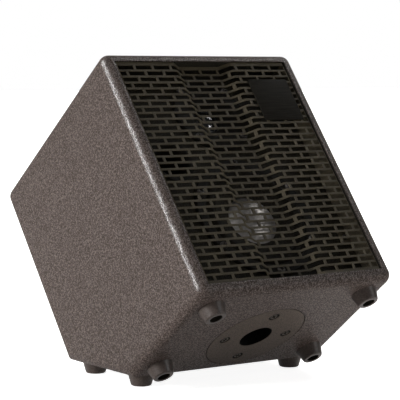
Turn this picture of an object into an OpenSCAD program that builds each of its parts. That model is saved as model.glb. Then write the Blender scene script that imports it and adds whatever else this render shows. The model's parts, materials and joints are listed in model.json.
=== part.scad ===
// Compact stage monitor wedge: a powered two-way loudspeaker in a plywood cabinet whose lower rear
// edge is cut off at an angle, so that it leans back and fires upwards from the floor.
// Sizes are in millimetres. Pieces are drawn in the frame of the upright cabinet, with X across,
// Y from the front plane to the back and Z up from the bottom panel, and stand() then leans them
// back onto the feet of the cut panel.

/* [Cabinet] */
// Width of the cabinet
cab_w = 245; // [232:1:280]
// Height of the front
cab_h = 294; // [286:1:340]
// Depth at the top
cab_d = 259; // [250:1:300]
// Depth of the bottom panel, up to the cut rear edge
bottom_d = 160; // [158:1:175]
// Angle of the cut rear panel against the bottom panel
wedge_angle = 38; // [34:1:40]
// Thickness of the plywood panels
wall = 12; // [11:0.5:14]
// Radius of the outer edges
edge_r = 10.5; // [5:0.5:11]

/* [Baffle] */
// Distance of the baffle behind the front plane
baffle_y = 25; // [24:0.5:32]
// Thickness of the baffle
baffle_t = 15; // [12:0.5:18]
// Section of the battens behind the baffle
batten_w = 12; // [8:0.5:14]

/* [Grille] */
// Distance of the grille behind the front plane
grille_recess = 2; // [1.8:0.1:3]
// Thickness of the steel sheet
grille_t = 1.2; // [0.8:0.1:1.6]
// Gap between the grille and the opening
grille_gap = 0.5; // [0.2:0.1:1]
// Width of the floor of the channel down the middle
channel_w = 51; // [40:1:64]
// Depth of the channel
channel_depth = 7.7; // [6:0.1:10.5]
// Slope of the channel's sides
channel_slope = 35; // [30:1:70]
// Radius of the bends along the channel
channel_bend_r = 5; // [3:0.5:6]
// Radius of the folds at the sides of the sheet
bend_r = 2.6; // [1.5:0.1:3]
// Length of a slot
slot_l = 19.6; // [12:0.1:20]
// Height of a slot
slot_h = 5.6; // [3:0.1:5.8]
// Distance between slots along a row
slot_pitch_x = 22.5; // [21:0.1:26]
// Distance between rows of slots
slot_pitch_z = 7.75; // [7:0.05:10]
// Plain border at the ends of the rows
slot_border_x = 2.5; // [2:0.1:8]
// Plain border above and below the rows
slot_border_z = 3; // [2:0.1:8]
// Length and width of a fixing lug
lug_l = 14; // [10:0.5:18]

/* [Badge] */
// Width of the badge plate
badge_w = 52; // [20:1:56]
// Height of the badge plate
badge_h = 54; // [20:1:60]
// Thickness of the badge plate
badge_t = 1.2; // [0.6:0.1:1.6]
// Distance of the badge's middle from the right side
badge_inset_x = 47; // [46.5:0.5:52]
// Distance of the badge below the top of the cabinet
badge_drop = 63; // [55:0.5:90]

/* [Woofer] */
// Gap under the woofer's flange as a share of the height that the woofer leaves
under_share = 0.123; // [0.06:0.001:0.14]
// Radius of the woofer's flange
woofer_r = 70; // [68:0.5:72]
// Thickness of the flange
woofer_flange_t = 4; // [3.5:0.1:5]
// Outer radius of the surround
surround_r = 61; // [59:0.5:62]
// Outer radius of the cone
cone_r = 49; // [46:0.5:50]
// Depth of the cone
cone_depth = 12; // [10:0.5:14]
// Radius of the dust cap
cap_r = 28; // [20:0.5:29]
// Height of the dust cap
cap_h = 12; // [6:0.5:12.5]
// Radius of the voice coil former, inside
coil_r = 12.6; // [10:0.1:14]
// Depth of the basket
basket_depth = 28; // [27:0.5:29]
// Radius of the motor
motor_r = 32; // [28:0.5:33]
// Thickness of the ring magnet
magnet_t = 11; // [9:0.5:11.5]
// Thickness of the motor's steel plates
plate_steel_t = 5; // [4:0.5:5.5]
// Travel of the cone each way
cone_travel = 4; // [2:0.5:4.5]

/* [Tweeter] */
// Gap between the drivers' plates as a share of the height that the woofer leaves
driver_share = 0.108; // [0.08:0.001:0.13]
// Gap between the tweeter's face plate and the top panel
tweeter_gap = 10; // [8:0.5:14]
// Thickness of the face plate
tweeter_face_t = 4; // [3:0.1:5]
// Radius of the waveguide's mouth as a share of the face plate's
mouth_share = 0.66; // [0.56:0.01:0.7]
// Radius of the dome as a share of the face plate's
dome_share = 0.28; // [0.25:0.01:0.29]
// Gap from the dome out to the waveguide's throat
throat_gap = 2.4; // [2:0.1:3]
// Height of the dome
dome_h = 4.5; // [3:0.1:5]
// Radius of the tweeter's motor as a share of the face plate's
tweeter_motor_share = 0.72; // [0.64:0.01:0.76]
// Thickness of the tweeter's magnet
tweeter_magnet_t = 10; // [8:0.5:14]

/* [Reflex port] */
// Distance of the port's middle from the left side
port_inset_x = 50; // [48.5:0.5:52]
// Height of the port above the bottom
port_z = 171.5; // [165:0.5:176]
// Inner radius of the port
port_r = 19; // [15:0.5:20]
// Wall of the port tube
port_wall = 2; // [1.5:0.1:2.5]
// Length of the port tube
port_l = 90; // [60:1:110]

/* [Pole socket] */
// Radius of the pole bore
pole_r = 18; // [17:0.25:18.5]
// Depth of the pole bore
pole_depth = 52; // [40:1:54]
// Wall of the socket
pole_wall = 2; // [1.5:0.1:2.5]
// Radius of the socket's flange
pole_flange_r = 54; // [48:0.5:56]
// Thickness of the socket's flange
pole_flange_t = 3; // [2:0.1:4]
// Distance of the socket from the front plane
pole_y = 99; // [98:0.5:100]
// Gap round the socket's flange in the bottom panel
pole_gap = 0.9; // [0.4:0.1:1.2]
// Radius of the circle of the socket's screws
pole_screw_circle_r = 39; // [34:0.25:42]
// Radius of the socket screws' shanks
pole_screw_r = 2.8; // [2:0.1:3]
// Radius of the socket screws' heads
pole_head_r = 6; // [5:0.1:6.5]

/* [Feet] */
// Radius of a foot at its base
foot_r = 14; // [12:0.5:15]
// Radius of a foot at its tip
foot_tip_r = 10.5; // [9:0.5:11.5]
// Height of a foot
foot_h = 12.5; // [10:0.5:16]
// Radius of the recess in the tip
foot_recess_r = 5.5; // [5:0.1:6]
// Depth of the recess in the tip
foot_recess_d = 7; // [5:0.5:8]
// Distance of the feet from the sides
foot_inset_x = 25.5; // [24:0.5:28]
// Distance of the front feet from the front plane
foot_front_y = 27; // [26:0.5:28]
// Distance of the rear bottom feet in front of the cut edge
foot_rear_gap = 19.5; // [19:0.5:21]
// Distance of the cut panel's feet from its two edges
foot_wedge_gap = 18.5; // [18:0.5:24]

/* [Handle] */
// Distance of the handle from the front plane
handle_y = 130; // [100:1:150]
// Distance between the handle's screws
handle_span = 168; // [156:1:172]
// Width of the strap
strap_w = 24; // [20:0.5:26]
// Thickness of the strap
strap_t = 5; // [3:0.5:6]
// Room for the fingers under the strap
strap_gap = 20; // [15:0.5:26]
// Length of an end cap
grip_cap_l = 30; // [28:0.5:32]
// Width of an end cap
grip_cap_w = 32; // [30:0.5:38]
// Height of an end cap
grip_cap_h = 9; // [8.5:0.5:11]

/* [Amplifier panel] */
// Width of the panel
amp_w = 190; // [186:1:200]
// Height of the panel
amp_h = 150; // [146:1:160]
// Thickness of the panel
amp_t = 2.5; // [2:0.1:3]
// Distance of the panel's middle below the top of the cabinet
amp_drop = 106; // [100:0.5:110]
// Width of the rebate that the panel sits in
amp_lip = 10; // [8:0.5:12]
// Radius of a knob
knob_r = 8; // [7:0.25:9]
// Height of a knob
knob_h = 14; // [10:0.5:18]
// Distance between knobs
knob_pitch = 32; // [28:0.5:33]
// Height of the row of knobs above the panel's middle
knob_v = 45; // [43:0.5:47]
// Radius of a knob's spindle
spindle_r = 3; // [2.5:0.1:3]
// Depth of a potentiometer behind the panel
pot_d = 11; // [10.5:0.5:13]
// Radius of a button
button_r = 3.5; // [3:0.1:4]
// Travel of a button
button_travel = 2.5; // [1.5:0.1:2.5]
// Radius of the bore of a jack socket
jack_r = 3.25; // [3.2:0.01:3.3]
// Depth of the bore of a jack socket
jack_depth = 32; // [30:0.5:34]
// Depth of the shelf that carries the power supply
shelf_d = 112; // [108:0.5:114]
// Outer radius of the ring transformer
toroid_r = 37; // [30:0.5:38]
// Height of the ring transformer
toroid_h = 34; // [28:0.5:36]

/* [Clearances] */
// Clearance round a screw in its hole
screw_clear = 0.1; // [0.05:0.05:0.3]
// Clearance of a piece let into a panel or a cut-out
fit_clear = 0.4; // [0.2:0.05:0.6]
// Clearance of a spindle or pin in its bearing
run_clear = 0.05; // [0.02:0.01:0.08]
// Gap between pieces that move past each other
move_gap = 0.35; // [0.3:0.05:0.4]
// Depth of a wood screw's thread in its panel
screw_bite = 9; // [6:0.5:9.5]

/* [Hidden] */
$fn = 64;
// Steps in a drawn arc
arc_n = 5;
// Overlap that carries a cut past the face it opens
cut = 1;

// Colours
paint = [0.36, 0.33, 0.31];
paint_dark = [0.26, 0.24, 0.22];
sheet_black = [0.13, 0.12, 0.11];
rubber = [0.2, 0.19, 0.18];
plastic_black = [0.09, 0.09, 0.09];
steel = [0.62, 0.62, 0.64];
ferrite = [0.2, 0.2, 0.21];
paper_black = [0.12, 0.12, 0.12];
copper = [0.72, 0.45, 0.2];
board_green = [0.1, 0.35, 0.2];
wood = [0.72, 0.58, 0.4];
lamp_green = [0.2, 0.8, 0.35];

// Cabinet, with a faint crease where the cut edge's rounding meets the faces
edge_crease = 0.05;
inner_w = cab_w - 2 * wall;
wedge_l = (cab_d - bottom_d) / cos(wedge_angle);
lean_front = edge_r * (cos(wedge_angle) + sin(wedge_angle) - 1);
lean_back = (cab_d - edge_r) * cos(wedge_angle) + (cab_h - edge_r) * sin(wedge_angle) + edge_r;
stand_shift = -(lean_front + lean_back) / 2;
stand_lift = bottom_d * sin(wedge_angle) + foot_h;

// Wood screws
screw_r = 2;
screw_head_r = 4.2;
screw_head_h = 2.6;
small_screw_r = 1.5;
small_head_r = 2.8;
small_head_h = 1.8;
// Share of a pan head's radius that is left at its top
head_taper = 0.75;
// Bite of a screw that first passes through a plate
plate_bite = screw_bite - 1;

// Grille
grille_w = inner_w - 2 * grille_gap;
grille_h = cab_h - 2 * wall - 2 * grille_gap;
grille_z = wall + grille_gap;
slot_rows = floor((grille_h - 2 * slot_border_z - slot_h) / slot_pitch_z) + 1;
slot_limit = grille_w / 2 - slot_border_x;
wall_l = channel_depth / sin(channel_slope);
fold_loss = wall_l * (1 - cos(channel_slope));
slot_cols = ceil((slot_limit + fold_loss) / slot_pitch_x);
slot_least = 4;
lug_share = 0.2;
lug_zs = [lug_share * grille_h, (1 - lug_share) * grille_h];
flange_x = grille_w / 2 - grille_t / 2;
brink_x = channel_w / 2 + channel_depth / tan(channel_slope);
sheet_y = grille_recess + grille_t / 2;
floor_y = sheet_y + channel_depth;
grille_half = [[channel_w / 2, floor_y], [brink_x, sheet_y], [flange_x, sheet_y], [flange_x, baffle_y]];
grille_path = concat(flipped([for (p = grille_half) [-p[0], p[1]]]), grille_half);
grille_bends = [bend_r, channel_bend_r, channel_bend_r, channel_bend_r, channel_bend_r, bend_r];
badge_corner_r = 2;

// Reflex port, with the roll of its mouth beyond its wall
port_x = cab_w / 2 - port_inset_x;
port_roll = 2;

// Places of the drivers up the baffle
spare_h = cab_h - 2 * wall - 2 * woofer_r;
under_gap = under_share * spare_h;
driver_gap = driver_share * spare_h;
woofer_z = wall + under_gap + woofer_r;

// Woofer, with heights above the baffle's face
frame_wall = 2;
hole_step = 1.5;
surround_seat_w = 3.5;
basket_margin = 6;
flange_edge = 1;
woofer_hole_r = surround_r - hole_step;
basket_r = woofer_hole_r - fit_clear;
basket_floor_r = motor_r + basket_margin;
basket_floor_t = 3;
ledge_z = 0.8;
ledge_in_r = surround_r - surround_seat_w - 1;
skin_t = 0.8;
seat_clear = 0.2;
roll_gap = 0.5;
roll_out_r = surround_r - surround_seat_w;
roll_in_r = cone_r + roll_gap;
roll_r = (roll_out_r - roll_in_r) / 2;
rim_w = 3;
rim_r = cone_r - rim_w;
former_t = 0.3;
winding_t = 0.6;
gap_clear = 0.5;
neck_r = coil_r + former_t;
basket_hole_r = neck_r + 4;
cone_slope = cone_depth / (rim_r - neck_r);
cap_foot_z = ledge_z - cone_slope * (rim_r - cap_r);
cap_ball_r = (cap_r * cap_r + cap_h * cap_h) / (2 * cap_h);
spider_share = 0.72;
spider_z = -basket_depth * spider_share;
spider_out_r = motor_r + 1;
spider_wave = 1.1;
spider_waves = 4;
spider_steps = 8 * spider_waves;
spider_t = 0.6;
spider_rim_in_r = spider_out_r - 2;
spider_rim_out_r = spider_out_r + 1;
spider_seat_z = spider_z - spider_wave / 2 - 0.4;
spider_shelf_t = 1.25;
spider_shelf_r = basket_in_r(spider_seat_z - spider_shelf_t) + 0.75 * frame_wall;
window_share = 0.55;
window_low_z = spider_z + 1;
window_top_z = -frame_wall - 3;
motor_z = -basket_depth - basket_floor_t;
magnet_z = motor_z - plate_steel_t;
back_z = magnet_z - magnet_t;
winding_l = plate_steel_t + 1.5 * cone_travel;
winding_z = motor_z - plate_steel_t / 2 - winding_l / 2;
woofer_screw_n = 6;
woofer_screw_r = (surround_r + woofer_r) / 2;
vent_r = 4;
// Step from the magnetic gap out to the magnet's bore, and the rim left round a steel plate
magnet_step = 5;
plate_rim = 1;
terminal_l = 14;
terminal_t = 6;

// Tweeter, with heights above the baffle's face
tweeter_r = (spare_h - under_gap - driver_gap - tweeter_gap) / 2;
tweeter_z = cab_h - wall - tweeter_gap - tweeter_r;
mouth_r = mouth_share * tweeter_r;
dome_r = dome_share * tweeter_r;
throat_r = dome_r + throat_gap;
tweeter_motor_r = tweeter_motor_share * tweeter_r;
// Share of the motor's radius from the magnetic gap out to the tweeter magnet's bore
tweeter_step_share = 0.15;
tweeter_magnet_step = tweeter_step_share * tweeter_motor_r;
boss_margin = 4;
face_edge = 1.5;
throat_bend_r = 6;
tweeter_boss_r = tweeter_motor_r + boss_margin;
throat_z = -4;
clamp_z = -8.4;
fabric_t = 0.6;
tweeter_top_z = clamp_z - fabric_t;
clamp_w = 3;
clamp_r = throat_r + clamp_w;
tweeter_plate_t = 4;
tweeter_magnet_z = tweeter_top_z - tweeter_plate_t;
tweeter_back_z = tweeter_magnet_z - tweeter_magnet_t;
tweeter_end_z = tweeter_back_z - plate_steel_t;
tweeter_winding_t = 0.4;
tweeter_coil_l = tweeter_plate_t + 1;
tweeter_screw_r = (tweeter_r + tweeter_boss_r) / 2;
tweeter_ball_r = (dome_r * dome_r + dome_h * dome_h) / (2 * dome_h);

// Feet
foot_edge_r = 2.2;

// Handle
strap_slope = 45;
strap_bend_r = 20;
strap_knee = handle_span / 2 - grip_cap_l / 2 - strap_bend_r * tan(strap_slope / 2) - cut;
strap_top = strap_knee - strap_gap / tan(strap_slope);
strap_tail = 12;
grip_cap_corner_r = 8;
strap_path = [
  [-handle_span / 2 - strap_tail, strap_t / 2], [-strap_knee, strap_t / 2],
  [-strap_top, strap_gap + strap_t / 2], [strap_top, strap_gap + strap_t / 2],
  [strap_knee, strap_t / 2], [handle_span / 2 + strap_tail, strap_t / 2]];
strap_bends = [for (i = [1 : len(strap_path) - 2]) strap_bend_r];

// Amplifier panel, with u to the right and v up as seen from behind, and heights above the panel's face
amp_z = cab_h - amp_drop;
amp_corner_r = 6;
cut_w = amp_w - 2 * amp_lip;
cut_h = amp_h - 2 * amp_lip;
bush_r = spindle_r + 1;
pot_r = 8;
nut_r = 6;
nut_h = 2;
bush_l = 5;
knob_z = 0.6;
knob_taper = 0.88;
knob_mark_w = 1;
knob_mark_d = 0.6;
knob_cap_t = 3;
pot_bore_d = pot_d / 2;
knob_us = [for (i = [-2 : 2]) i * knob_pitch];
board_t = 1.6;
preamp_w = cut_w - 8;
preamp_h = 50;
preamp_v = knob_v - 10;
preamp_z = -amp_t - pot_d;
switch_box_w = 10;
button_u = 60;
button_v = 20;
button_reach = 4;
button_foot_h = 3.2;
button_brim = 1;
button_foot = -amp_t - button_foot_h;
switch_box_h = pot_d - button_foot_h - button_travel - move_gap;
lamp_u = -60;
lamp_r = 2.5;
lamp_rise = 1;
lamp_foot_h = 3;
lamp_brim = 0.8;
lamp_post_r = 1;
jack_v = -12;
jack_us = [-55, -20, 15];
jack_flange_w = 26;
jack_flange_h = 31;
jack_barrel_r = 11.5;
jack_flange_t = 2;
jack_corner_r = 3;
jack_end_t = 4;
inlet_u = 42;
inlet_v = -44;
inlet_w = 24;
inlet_h = 16.5;
inlet_d = 17;
inlet_wall = 2;
inlet_body = [inlet_w + 2 * inlet_wall, inlet_h + 2 * inlet_wall];
inlet_flange_t = 2.5;
inlet_ear = 11;
inlet_brim = 2;
inlet_corner_r = 4;
inlet_pins = [[-7, -2], [0, 2], [7, -2]];
inlet_pin_t = 2;
inlet_pin_w = 4;
inlet_pin_sunk = 7;
rocker_u = -4;
rocker_v = -44;
rocker_w = 10;
rocker_l = 16.8;
rocker_tilt = 8;
rocker_pin_r = 1.25;
rocker_frame_wall = 1.4;
rocker_cavity = [rocker_w + 2 * move_gap, rocker_l + 2 * move_gap + 1];
rocker_body = rocker_cavity + 2 * rocker_frame_wall * [1, 1];
rocker_body_d = 14;
rocker_cavity_d = 8;
rocker_flange_t = 2;
rocker_brim = 2;
rocker_rise = 1;
rocker_dip = 2.4;
rocker_edge = 0.5;
shelf_t = 2;
shelf_v = -cut_h / 2 + fit_clear;
shelf_w = cut_w - 2 * fit_clear;
shelf_lip = 8;
toroid_u = shelf_w / 2 - toroid_r - 3;
toroid_w = shelf_d - toroid_r - 2;
toroid_hole_r = 9;
toroid_edge_r = 5;
clamp_disc_r = 22;
clamp_disc_t = 1.5;
nut_t = 3;
amp_board_l = 74;
amp_board_u = -shelf_w / 2 + amp_board_l / 2 + 4;
amp_board_edge = 2;
standoff_h = 6;
standoff_r = 3;
standoff_x = amp_board_l / 2 - 5;
capacitor_r = 9;
capacitor_h = 32;
capacitor_x = 16;
capacitor_y = 18;
sink_w = 56;
sink_d = 26;
sink_h = 26;
sink_y = 40;
sink_base_t = 5;
fin_n = 7;
fin_t = 2;
amp_board_z = amp_z + shelf_v + shelf_t + standoff_h;
amp_board_front = cab_d - amp_t - shelf_d + amp_board_edge;

// Leads from the amplifier board to the drivers
lead_r = 2;
lead_sides = 8;
terminal_y = baffle_y - motor_z + terminal_t;
terminal_z = woofer_z + (motor_r + basket_floor_r) / 2;
lead_z = amp_board_z + board_t + lead_r;
woofer_lead = [
  [30, amp_board_front, lead_z], [30, amp_board_front - 12, lead_z], [18, 115, 150], [4, 88, 138],
  [0, terminal_y + 10, terminal_z], [0, terminal_y, terminal_z]];
tweeter_lead = [
  [46, amp_board_front, lead_z], [46, amp_board_front - 12, lead_z], [36, 115, 185], [12, 80, 218],
  [0, baffle_y - tweeter_end_z + 10, tweeter_z], [0, baffle_y - tweeter_end_z, tweeter_z]];

// Inner radius of the woofer's basket at height z
function basket_in_r(z) =
  let (share = (z + basket_depth) / (basket_depth - frame_wall))
  basket_floor_r - frame_wall + (basket_r - basket_floor_r) * share;

// Vector helpers
function unit(v) = v / norm(v);
function left_of(v) = [-v[1], v[0]] / norm(v);
function turned(v, a) = [v[0] * cos(a) - v[1] * sin(a), v[0] * sin(a) + v[1] * cos(a)];
function flipped(p) = [for (i = [len(p) - 1 : -1 : 0]) p[i]];
function arc(centre, r, from, to, n = 12) =
  [for (i = [0 : n]) centre + r * [cos(from + (to - from) * i / n), sin(from + (to - from) * i / n)]];

// Points of the rounded corner b between a and c, moved sideways to the left by off
function corner(a, b, c, r, off = 0, n = arc_n) =
  let (
    u = unit(a - b),
    v = unit(c - b),
    inside = acos(u * v),
    side = sign(cross(b - a, c - b)),
    centre = b + unit(u + v) * r / sin(inside / 2),
    start = b + u * r / tan(inside / 2))
  [for (i = [0 : n]) centre + turned(unit(start - centre), side * (180 - inside) * i / n) * (r - side * off)];

// A path whose corners are rounded by r, a list, and that is moved sideways to the left by off
function bent(p, r, off) =
  let (last = len(p) - 1)
  concat(
    [p[0] + off * left_of(p[1] - p[0])],
    [for (i = [1 : last - 1]) each corner(p[i - 1], p[i], p[i + 1], r[i - 1], off)],
    [p[last] + off * left_of(p[last] - p[last - 1])]);

// Where a point at s across the flat punched sheet lies once the channel is folded
function folded(s) =
  let (a = abs(s), floor_half = channel_w / 2, up = a - floor_half)
  sign(s) * (up < 0 ? a : up < wall_l ? floor_half + up * cos(channel_slope) : a - fold_loss);

// Corners of the cabinet's side outline, moved inwards by d, as [depth, height]
function outline(d) = [
  [d, d],
  [bottom_d - d * tan(wedge_angle / 2), d],
  [cab_d - d, (d + (cab_d - d - bottom_d) * sin(wedge_angle)) / cos(wedge_angle)],
  [cab_d - d, cab_h - d],
  [d, cab_h - d]];

// Smooth curve through the points of a route
function spline(p, i, t) =
  let (
    last = len(p) - 1,
    a = p[max(i - 1, 0)],
    b = p[i],
    c = p[i + 1],
    d = p[min(i + 2, last)])
  0.5 * (2 * b + (c - a) * t + (2 * a - 5 * b + 4 * c - d) * t * t + (3 * b - a - 3 * c + d) * t * t * t);
function route(p, n = 4) =
  concat([for (i = [0 : len(p) - 2], k = [0 : n - 1]) spline(p, i, k / n)], [p[len(p) - 1]]);

// Frames
module stand()
  translate([0, stand_shift, stand_lift]) rotate([-wedge_angle, 0, 0]) children();
module across(w)
  translate([-w / 2, 0, 0]) rotate([90, 0, 90]) linear_extrude(w) children();
module on_baffle(x, z)
  translate([x, baffle_y, z]) rotate([90, 0, 0]) children();
module on_bottom(x, y)
  translate([x, y, 0]) rotate([180, 0, 0]) children();
module on_wedge(x, s)
  translate([x, bottom_d, 0]) rotate([wedge_angle, 0, 0]) translate([0, s, 0]) rotate([180, 0, 0]) children();
module on_top(x, y)
  translate([x, y, cab_h]) children();
module on_amp(u, v)
  translate([-u, cab_d, amp_z + v]) rotate([90, 0, 180]) children();
module revolve(points)
  rotate_extrude() polygon(points);
module ring(r_out, r_in, z0, z1)
  revolve([[r_in, z0], [r_out, z0], [r_out, z1], [r_in, z1]]);
module strip(path, r, t)
  polygon(concat(bent(path, r, t / 2), flipped(bent(path, r, -t / 2))));
module rounded_rect(w, h, r) {
  square([w - 2 * r, h], center = true);
  square([w, h - 2 * r], center = true);
  for (x = [-1, 1], y = [-1, 1]) translate([x * (w / 2 - r), y * (h / 2 - r)]) circle(r);
}

// Fasteners, with the seat of the head at height 0
module pan_screw(shank_r, head_r, head_h, bite) {
  translate([0, 0, -bite]) cylinder(r = shank_r, h = bite);
  cylinder(r1 = head_r, r2 = head_r * head_taper, h = head_h);
}
module flush_screw(shank_r, head_r, head_h, bite) {
  translate([0, 0, -bite]) cylinder(r = shank_r, h = bite);
  translate([0, 0, -head_h]) cylinder(r1 = shank_r, r2 = head_r, h = head_h);
}
module pilot(shank_r, bite)
  translate([0, 0, -bite - screw_clear]) cylinder(r = shank_r + screw_clear, h = bite + screw_clear + cut);
module flush_hole(shank_r, head_r, head_h, depth) {
  pilot(shank_r, depth);
  translate([0, 0, -head_h - screw_clear])
    cylinder(r1 = shank_r + screw_clear, r2 = head_r + 2 * screw_clear, h = head_h + screw_clear);
}

// Places of repeated pieces
module each_bottom_foot()
  for (x = [-1, 1], y = [foot_front_y, bottom_d - foot_rear_gap])
    on_bottom(x * (cab_w / 2 - foot_inset_x), y) children();
module each_wedge_foot()
  for (x = [-1, 1], s = [foot_wedge_gap, wedge_l - foot_wedge_gap])
    on_wedge(x * (cab_w / 2 - foot_inset_x), s) children();
module each_pole_screw()
  on_bottom(0, pole_y) for (a = [0 : 90 : 270]) rotate(a) translate([pole_screw_circle_r, 0, 0]) children();
module each_handle_end()
  for (x = [-1, 1]) on_top(x * handle_span / 2, handle_y) mirror([x < 0 ? 1 : 0, 0, 0]) children();
module each_woofer_screw()
  on_baffle(0, woofer_z) for (i = [0 : woofer_screw_n - 1])
    rotate((i + 0.5) * 360 / woofer_screw_n) translate([woofer_screw_r, 0, woofer_flange_t]) children();
module each_tweeter_screw()
  on_baffle(0, tweeter_z) for (i = [0 : 3])
    rotate(45 + 90 * i) translate([tweeter_screw_r, 0, tweeter_face_t]) children();
module each_grille_lug()
  for (x = [-1, 1], z = lug_zs)
    translate([x * (grille_w / 2 - lug_l / 2), baffle_y, grille_z + z]) children();
module each_amp_screw()
  for (u = [-1, 0, 1], v = [-1, 1])
    on_amp(u * (amp_w / 2 - amp_lip / 2), v * (amp_h / 2 - amp_lip / 2)) children();
module each_jack()
  for (u = jack_us) on_amp(u, jack_v) children();

// Cabinet panels
module rounded_outline() {
  centres = outline(edge_r);
  count = len(centres);
  polygon([for (i = [0 : count - 1])
    let (a = centres[i], b = centres[(i + 1) % count], out = -edge_r * left_of(b - a))
    each [a + out, b + out]]);
  for (c = centres) translate(c) circle(edge_r);
}
module cross_panel(corners)
  across(inner_w) intersection() {
    rounded_outline();
    polygon(corners);
  }
module edge_section() {
  square([edge_r, wall - edge_r]);
  translate([0, wall - edge_r]) intersection() {
    circle(edge_r);
    square(edge_r);
  }
}
// A rectangular board with rounded edges and corners on its outer face
module rounded_board(w, h) {
  translate([edge_r, edge_r, 0]) cube([w - 2 * edge_r, h - 2 * edge_r, wall]);
  for (i = [0 : 3]) {
    run = (i % 2 == 0 ? w : h) - 2 * edge_r;
    place = [i == 0 || i == 3 ? edge_r : w - edge_r, i < 2 ? edge_r : h - edge_r];
    translate(place) rotate(90 * i) mirror([0, 1, 0]) rotate([90, 0, 90])
      linear_extrude(run) edge_section();
    translate(place) rotate(90 * i - 180) rotate_extrude(angle = 90) edge_section();
  }
}
// What the cut rear edge takes off a side, with its rounding
module wedge_cut() {
  spare = 3 * edge_r;
  run = wedge_l + 2 * spare;
  drop = cab_d - bottom_d;
  translate([bottom_d, 0, 0]) rotate(wedge_angle) translate([-spare, 0, 0]) {
    translate([0, -drop, -cut]) cube([run, drop, wall + 2 * cut]);
    rotate([90, 0, 90]) linear_extrude(run) difference() {
      translate([-cut, wall - edge_r]) square(edge_r + cut);
      translate([edge_r - edge_crease, wall - edge_r + edge_crease]) circle(edge_r);
    }
  }
}
// What rounding takes off the blunt corner b of a side, between a and c
module blunt_corner_cut(a, b, c) {
  inwards = unit(unit(a - b) + unit(c - b));
  half = acos(unit(a - b) * unit(c - b)) / 2;
  middle = b + inwards * (edge_r / sin(half) - edge_crease);
  reach = 2 * edge_r;
  translate([0, 0, -cut]) linear_extrude(wall + 2 * cut) difference() {
    polygon([
      middle, middle + reach * turned(-inwards, half - 90), b - reach * inwards,
      middle + reach * turned(-inwards, 90 - half)]);
    translate(middle) circle(edge_r);
  }
}
module side_panel() {
  corners = outline(0);
  translate([cab_w / 2 - wall, 0, 0]) rotate([90, 0, 90]) difference() {
    rounded_board(cab_d, cab_h);
    wedge_cut();
    for (i = [1, 2]) blunt_corner_cut(corners[i - 1], corners[i], corners[i + 1]);
  }
}
module right_side_panel()
  color(paint) stand() side_panel();
module left_side_panel()
  color(paint) stand() mirror([1, 0, 0]) side_panel();
module top_panel()
  color(paint) stand() difference() {
    cross_panel([outline(0)[3], outline(0)[4], [0, cab_h - wall], outline(wall)[3]]);
    each_handle_end() pilot(screw_r, screw_bite);
  }
module bottom_panel()
  color(paint) stand() difference() {
    cross_panel([outline(0)[0], outline(0)[1], outline(wall)[1], [0, wall]]);
    on_bottom(0, pole_y) translate([0, 0, -pole_flange_t])
      cylinder(r = pole_flange_r + pole_gap, h = pole_flange_t + cut);
    on_bottom(0, pole_y) translate([0, 0, -wall - cut])
      cylinder(r = pole_r + pole_wall + fit_clear, h = wall + 2 * cut);
    each_pole_screw() pilot(pole_screw_r, pole_flange_t + plate_bite);
    each_bottom_foot() pilot(screw_r, screw_bite);
  }
module wedge_panel()
  color(paint) stand() difference() {
    cross_panel([outline(0)[1], outline(0)[2], outline(wall)[2], outline(wall)[1]]);
    each_wedge_foot() pilot(screw_r, screw_bite);
  }
module back_panel()
  color(paint) stand() difference() {
    cross_panel([outline(0)[2], outline(0)[3], outline(wall)[3], outline(wall)[2]]);
    on_amp(0, 0) translate([0, 0, -amp_t]) linear_extrude(amp_t + cut)
      rounded_rect(amp_w + 2 * fit_clear, amp_h + 2 * fit_clear, amp_corner_r);
    on_amp(0, 0) translate([0, 0, -wall - cut]) linear_extrude(wall + 2 * cut)
      square([cut_w, cut_h], center = true);
    each_amp_screw() pilot(small_screw_r, amp_t + plate_bite);
  }

// Baffle
module baffle()
  color(paper_black) stand() difference() {
    translate([-inner_w / 2, baffle_y, wall]) cube([inner_w, baffle_t, cab_h - 2 * wall]);
    on_baffle(0, woofer_z) translate([0, 0, -baffle_t - cut])
      cylinder(r = woofer_hole_r, h = baffle_t + 2 * cut);
    on_baffle(0, tweeter_z) translate([0, 0, -baffle_t - cut])
      cylinder(r = tweeter_boss_r + fit_clear, h = baffle_t + 2 * cut);
    on_baffle(-port_x, port_z) translate([0, 0, -baffle_t - cut])
      cylinder(r = port_r + port_wall + fit_clear, h = baffle_t + 2 * cut);
    each_woofer_screw() pilot(screw_r, woofer_flange_t + screw_bite);
    each_tweeter_screw() pilot(screw_r, tweeter_face_t + screw_bite);
    each_grille_lug() rotate([90, 0, 0]) pilot(small_screw_r, screw_bite);
  }
module baffle_battens()
  color(wood) stand() {
    for (x = [-1, 1]) translate([x * (inner_w - batten_w) / 2, baffle_y + baffle_t + batten_w / 2, cab_h / 2])
      cube([batten_w, batten_w, cab_h - 2 * wall], center = true);
    for (z = [-1, 1])
      translate([0, baffle_y + baffle_t + batten_w / 2, cab_h / 2 + z * (cab_h / 2 - wall - batten_w / 2)])
        cube([inner_w - 2 * batten_w - 2 * fit_clear, batten_w, batten_w], center = true);
  }

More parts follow.
